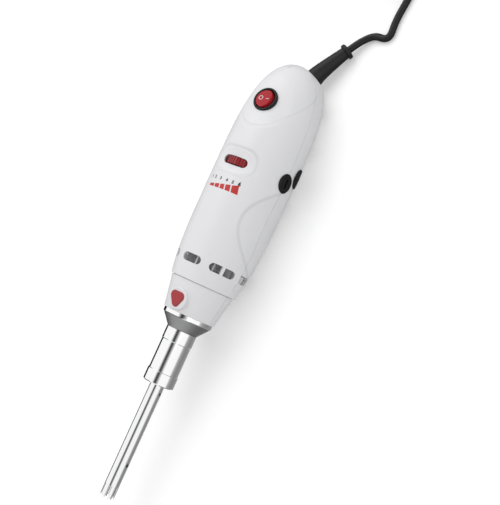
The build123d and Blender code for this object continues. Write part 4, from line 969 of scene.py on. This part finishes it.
@dataclass
class SpindleLock(SubAssembly):
    """The button by the nose with its pin, and its spring.

    Attributes:
        station: Station of the button, mm.
        floor: Height of the cup's floor, where the spring stands, mm.
        height: Free length of the spring, mm.
        coil_radius: Radius of the spring's turns, mm.
        wire: Thickness of its wire, mm.
        turns: Number of turns.
        travel: How far the button goes in, mm. Not used.
        clearance: Room at each end of the spring, mm.
    """

    title: str = "spindle lock"
    finishes: dict[str, Finish] = finish_table(lock_button=BUTTON_RED, lock_pin=STEEL, lock_spring=STEEL)
    station: float = 57.3
    floor: float = 12.0
    height: float = 5.4
    coil_radius: float = 2.9
    wire: float = 0.6
    turns: int = 4
    travel: float = 2.6
    clearance: float = 0.04

    def spring(self) -> bpy.types.Object:
        """The spring as a tube along a helix.

        The helix's middle line is (r cos t, r sin t, rise t / full turn), and the tube's ring
        lies in the plane of the radius and the upright at each point.

        Returns:
            The piece.
        """
        steps, sides = 24 * self.turns + 1, 8
        turn = np.linspace(0, 2 * np.pi * self.turns, steps)[:, None]
        around = np.linspace(0, 2 * np.pi, sides, endpoint=False)[None, :]
        low = self.wire / 2 + self.clearance
        rise = self.height - 2 * low
        reach = self.coil_radius + self.wire / 2 * np.cos(around)
        height = self.floor + low + rise * turn / turn[-1] + self.wire / 2 * np.sin(around)
        points = np.stack([self.station + reach * np.cos(turn), reach * np.sin(turn), height], axis=2)
        faces = grid_faces(steps, sides, wrap=True)
        piece = new_piece("button_spring", place_all(points.reshape(-1, 3)), faces, STEEL, "housing")
        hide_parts("lock_spring")
        anchor = place(self.station, 0.0, self.floor)
        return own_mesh(piece)

    def build(self) -> None:
        """Dresses the button and pin and winds the spring."""
        self.dress()
        self.spring()
        log.info("%s: spring of %d turns", self.title, self.turns)


@dataclass
class MainsLead(SubAssembly):
    """Free cord: from the bend relief over the bench, wound into a coil, then to its plug.

    Attributes:
        radius: Radius of the sheath, mm.
        exit: Where it leaves the bend relief, as station, side and height, mm.
        lying: Route over the bench, as station and side, mm.
        coil_middle: Station and side of the coil's centre, mm.
        columns: Radii of the two columns of turns, mm.
        layer_pitch: Rise from one layer of turns to the next, mm.
        layers: Number of layers.
        points_per_turn: Control points in a turn.
        leave_angle: How far short of its full circle the last turn ends, degrees.
        tail: From the coil to the plug, as offsets from the coil's centre and heights over the bench, mm.
        length: Real length from the relief to the plug, m. Not used.
    """

    title: str = "mains lead"
    finishes: dict[str, Finish] = finish_table(
        strain_relief=RUBBER,
        cord=SHEATH,
        cord_coil=SHEATH,
        cord_tail=SHEATH,
        plug_body=SHEATH,
        plug_pins=BRASS,
    )
    radius: float = 2.5
    exit: tuple[float, float, float] = (259.57, 13.63, -22.79)
    lying: tuple[tuple[float, float], ...] = (
        (276.2, 22.3),
        (273.4, 38.2),
        (289.0, 36.2),
        (307.0, 38.6),
        (327.0, 38.4),
    )
    coil_middle: tuple[float, float] = (350.0, 5.5)
    columns: tuple[float, float] = (33.4, 28.1)
    layer_pitch: float = 5.1
    layers: int = 4
    points_per_turn: int = 14
    leave_angle: float = 14.0
    tail: tuple[tuple[float, float, float], ...] = ((13.0, 32.0, 16.2), (29.0, 27.5, 9.2), (45.0, 18.0, 6.7))
    length: float = 1.66

    def coil(self) -> np.ndarray:
        """Control points of the turns, as station, side and height.

        The angle rises steadily from the side that the cord comes in on. The radius and the layer
        go over to the next turn's in the last quarter of each turn, by a smooth step.

        Returns:
            Array of points, mm.
        """
        order = [(layer, (column + layer) % 2) for layer in range(self.layers) for column in (0, 1)]
        radii = np.array([self.columns[column] for _, column in order])
        heights = np.array([self.radius + self.layer_pitch * layer for layer, _ in order])
        turns = len(order) - self.leave_angle / 360.0
        share = np.arange(0, turns, 1.0 / self.points_per_turn)
        turn = np.minimum(share.astype(int), len(order) - 1)
        after = np.minimum(turn + 1, len(order) - 1)
        step = np.clip((share - turn - 0.72) / 0.28, 0, 1)
        step = step * step * (3 - 2 * step)
        radius = radii[turn] * (1 - step) + radii[after] * step
        height = heights[turn] * (1 - step) + heights[after] * step
        angle = 2 * np.pi * share - np.pi / 2
        station = self.coil_middle[0] + radius * np.cos(angle)
        side = self.coil_middle[1] - radius * np.sin(angle)
        return np.stack([station, side, height - AXIS_HEIGHT], axis=1)

    def route(self) -> np.ndarray:
        """All control points of the cord, as station, side and height, mm."""
        rest = self.radius - AXIS_HEIGHT
        bench = [(station, side, rest) for station, side in self.lying]
        tail = [
            (self.coil_middle[0] + along, self.coil_middle[1] + aside, height - AXIS_HEIGHT)
            for along, aside, height in self.tail
        ]
        return np.concatenate([[self.exit], bench, self.coil(), tail])

    def build(self) -> None:
        self.dress()
        points = place_all(self.route())
        curve = bpy.data.curves.new("mains_cord", "CURVE")
        curve.dimensions = "3D"
        curve.bevel_depth = self.radius * MM
        curve.bevel_resolution = 5
        curve.resolution_u = 6
        curve.use_fill_caps = True
        spline = curve.splines.new("NURBS")
        spline.points.add(len(points) - 1)
        spline.points.foreach_set("co", np.hstack([points, np.ones((len(points), 1))]).ravel())
        spline.order_u = 3
        spline.use_endpoint_u = True
        curve.materials.append(SHEATH.material())
        cord = bpy.data.objects.new("mains_cord", curve)
        bpy.context.scene.collection.objects.link(cord)
        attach(cord, "housing")
        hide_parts("cord", "cord_coil", "cord_tail")
        log.info("%s: one curve of %d control points", self.title, len(points))


@dataclass
class SpeedControl(SubAssembly):
    """Wheel and its board, with the printed blocks that grow with the speed and their numerals.

    Attributes:
        foot: Station of the blocks' lower edge, mm.
        radius: Radius of the shell there, mm.
        lift: Height of the print over the shell, mm.
        sides: Angle at which each block starts and the last one ends, degrees.
        heights: Height of the blocks at each of those angles, mm.
        lean: How far a block's top leans back, per millimetre of its height.
        gap: Bare strip between blocks, mm.
        numeral_foot: Station of the numerals' lower edge, mm.
        numeral_sides: Angle of each numeral, degrees.
        numeral_sizes: Heights of the numerals, mm.
        boldness: How far a numeral's strokes are widened, as a share of its size.
        digit_share: Height of a digit in type of size 1.
    """

    title: str = "speed control"
    finishes: dict[str, Finish] = finish_table(
        speed_wheel=WHEEL_RED, pot_spindle=ALUMINIUM, potentiometer=ALUMINIUM, speed_board=BOARD
    )
    foot: float = 133.2
    radius: float = 26.4
    lift: float = 0.03
    sides: tuple[float, ...] = (-26.6, -14.6, -4.2, 5.1, 15.1, 27.8)
    heights: tuple[float, ...] = (1.7, 2.2, 2.9, 3.6, 4.5, 6.0)
    lean: float = 0.22
    gap: float = 0.9
    numeral_foot: float = 138.9
    numeral_sides: tuple[float, ...] = (-27.5, -19.5, -8.3, 3.1, 13.2, 23.4)
    numeral_sizes: tuple[float, ...] = (1.9, 1.9, 1.9, 1.95, 2.0, 2.6)
    boldness: float = 0.055
    digit_share: float = 0.7

    def on_shell(self, station: np.ndarray, arc: np.ndarray) -> np.ndarray:
        """Points on the shell: the arc is wound about the axis at the print's radius.

        Args:
            station: Stations, mm.
            arc: Distances round the shell from the middle of the front, mm.

        Returns:
            Row frame points, in metres.
        """
        reach = self.radius + self.lift
        angle = arc / reach
        return place_all(np.stack([station, reach * np.sin(angle), reach * np.cos(angle)], axis=1))

    def block(self, index: int) -> None:
        """One red block, whose top edge slopes up to the next.

        Args:
            index: Number of the block, from the lowest speed.
        """
        turn = math.radians(1) * self.radius
        start = self.sides[index] * turn + self.gap / 2
        end = self.sides[index + 1] * turn - self.gap / 2
        across, up = np.meshgrid(np.linspace(0, 1, 9), np.linspace(0, 1, 5))
        tall = self.heights[index] * (1 - across) + self.heights[index + 1] * across
        station = self.foot + up * tall
        arc = start + across * (end - start) - up * tall * self.lean
        points = self.on_shell(station.ravel(), arc.ravel())
        new_piece(f"scale_block_{index + 1}", points, grid_faces(5, 9), SCALE_RED, "housing")

    def numeral(self, index: int) -> None:
        """One numeral, drawn flat and then wound on to the shell.

        Args:
            index: Number of the numeral, from the lowest speed.
        """
        curve = bpy.data.curves.new(f"numeral_{index + 1}", "FONT")
        curve.body = str(index + 1)
        curve.size = 1.0
        curve.align_x = "CENTER"
        curve.resolution_u = 3
        curve.offset = self.boldness
        drawn = bpy.data.objects.new("drawn", curve)
        flat = bpy.data.meshes.new_from_object(drawn)
        count = len(flat.vertices)
        points = np.empty(count * 3)
        flat.vertices.foreach_get("co", points)
        points = points.reshape(count, 3)
        across, up = points[:, :2].T * self.numeral_sizes[index] / self.digit_share
        middle = math.radians(self.numeral_sides[index]) * self.radius
        wound = self.on_shell(self.numeral_foot + up, middle + across)
        flat.vertices.foreach_set("co", wound.ravel())
        flat.materials.clear()
        flat.materials.append(NUMERAL_BLACK.material())
        flat.update()
        piece = bpy.data.objects.new(f"scale_numeral_{index + 1}", flat)
        bpy.context.scene.collection.objects.link(piece)
        bpy.data.objects.remove(drawn)
        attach(piece, "housing")
        log.info("piece %s rides on housing", piece.name)

    def build(self) -> None:
        """Dresses the wheel and board and prints the blocks and numerals."""
        self.dress()
        for index in range(len(self.sides) - 1):
            self.block(index)
        for index in range(len(self.sides)):
            self.numeral(index)
        log.info("%s: %d blocks and %d numerals printed", self.title, len(self.sides) - 1, len(self.sides))


@dataclass
class PowerSwitch(SubAssembly):
    """Rocker switch with the printed O and I on its rocker.

    Attributes:
        station: Station of the switch, mm.
        crest: Height of the hood there, mm.
        slope: Fall of the hood, degrees.
        pivot: Height of the rocker's pivot in the switch's own frame, mm.
        tilt: Angle of each wing of the rocker, and of the rocker when off, degrees.
        valley: Height of the middle of the rocker's face, mm.
        lift: Height of the print over the face, mm.
        ring_radii: Outer and inner radius of the O, mm.
        bar_size: Length and width of the I, mm.
        mark_offset: Distance of both marks' middles from the valley, mm.
    """

    title: str = "power switch"
    finishes: dict[str, Finish] = finish_table(switch_body=BLACK, switch_terminals=BRASS, rocker=ROCKER_RED)
    station: float = 198.8
    crest: float = 22.4525
    slope: float = 10.0
    pivot: float = -2.6
    tilt: float = 9.0
    valley: float = 1.0
    lift: float = 0.03
    ring_radii: tuple[float, float] = (1.6, 1.15)
    bar_size: tuple[float, float] = (2.7, 0.5)
    mark_offset: float = 2.9

    def on_wing(self, along: np.ndarray, across: np.ndarray, wing: int) -> np.ndarray:
        """Points on one wing of the rocker as it lies when off.

        The wing rises from the valley by the tangent of its angle. The rocker is turned about its
        pivot, and then the switch's frame is tilted with the hood.

        Args:
            along: Distances towards the tail, mm.
            across: Distances from the valley towards that wing's edge, mm.
            wing: 1 for the wing towards +Y, -1 for the other.

        Returns:
            Row frame points, in metres.
        """
        turn = math.radians(self.tilt)
        side = wing * across
        rise = self.valley + across * math.tan(turn) + self.lift - self.pivot
        turned_side = side * math.cos(turn) + rise * math.sin(turn)
        turned_rise = -side * math.sin(turn) + rise * math.cos(turn) + self.pivot
        fall = math.radians(self.slope)
        station = self.station + along * math.cos(fall) + turned_rise * math.sin(fall)
        height = self.crest - along * math.sin(fall) + turned_rise * math.cos(fall)
        return place_all(np.stack([station, -turned_side, height], axis=1))

    def ring(self) -> None:
        """The O: a flat ring of points at two radii."""
        sides = 32
        angle = np.tile(np.linspace(0, 2 * np.pi, sides, endpoint=False), 2)
        radius = np.repeat(self.ring_radii, sides)
        points = self.on_wing(radius * np.cos(angle), self.mark_offset + radius * np.sin(angle), 1)
        faces = grid_faces(2, sides, wrap=True)
        new_piece("rocker_mark_off", points, faces, MARK_WHITE, "switch_rocker")

    def bar(self) -> None:
        """The I: a short bar across the valley's direction."""
        length, width = self.bar_size
        along, across = np.meshgrid([width / 2, -width / 2], np.linspace(-length / 2, length / 2, 5))
        points = self.on_wing(along.ravel(), self.mark_offset + across.ravel(), -1)
        new_piece("rocker_mark_on", points, grid_faces(5, 2), MARK_WHITE, "switch_rocker")

    def build(self) -> None:
        """Dresses the switch and prints both marks."""
        self.dress()
        self.ring()
        self.bar()


def main() -> None:
    """Builds the camera and the mains lead, then the studio and the other sub-assemblies."""
    bpy.context.scene.view_settings.view_transform = "Standard"
    studio = Studio()
    studio.camera()
    lead = MainsLead()
    lead.build()
    studio.build()
    rest = [Housing(), Generator(), Motor(), BrushGear(), SpindleLock(), SpeedControl(), PowerSwitch()]
    for assembly in rest:
        assembly.build()
    bare = set(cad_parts).difference(*(assembly.finishes for assembly in [lead, *rest]))
    if bare:
        raise ValueError(f"nodes without a finish: {sorted(bare)}")


if __name__ == "__main__":
    main()
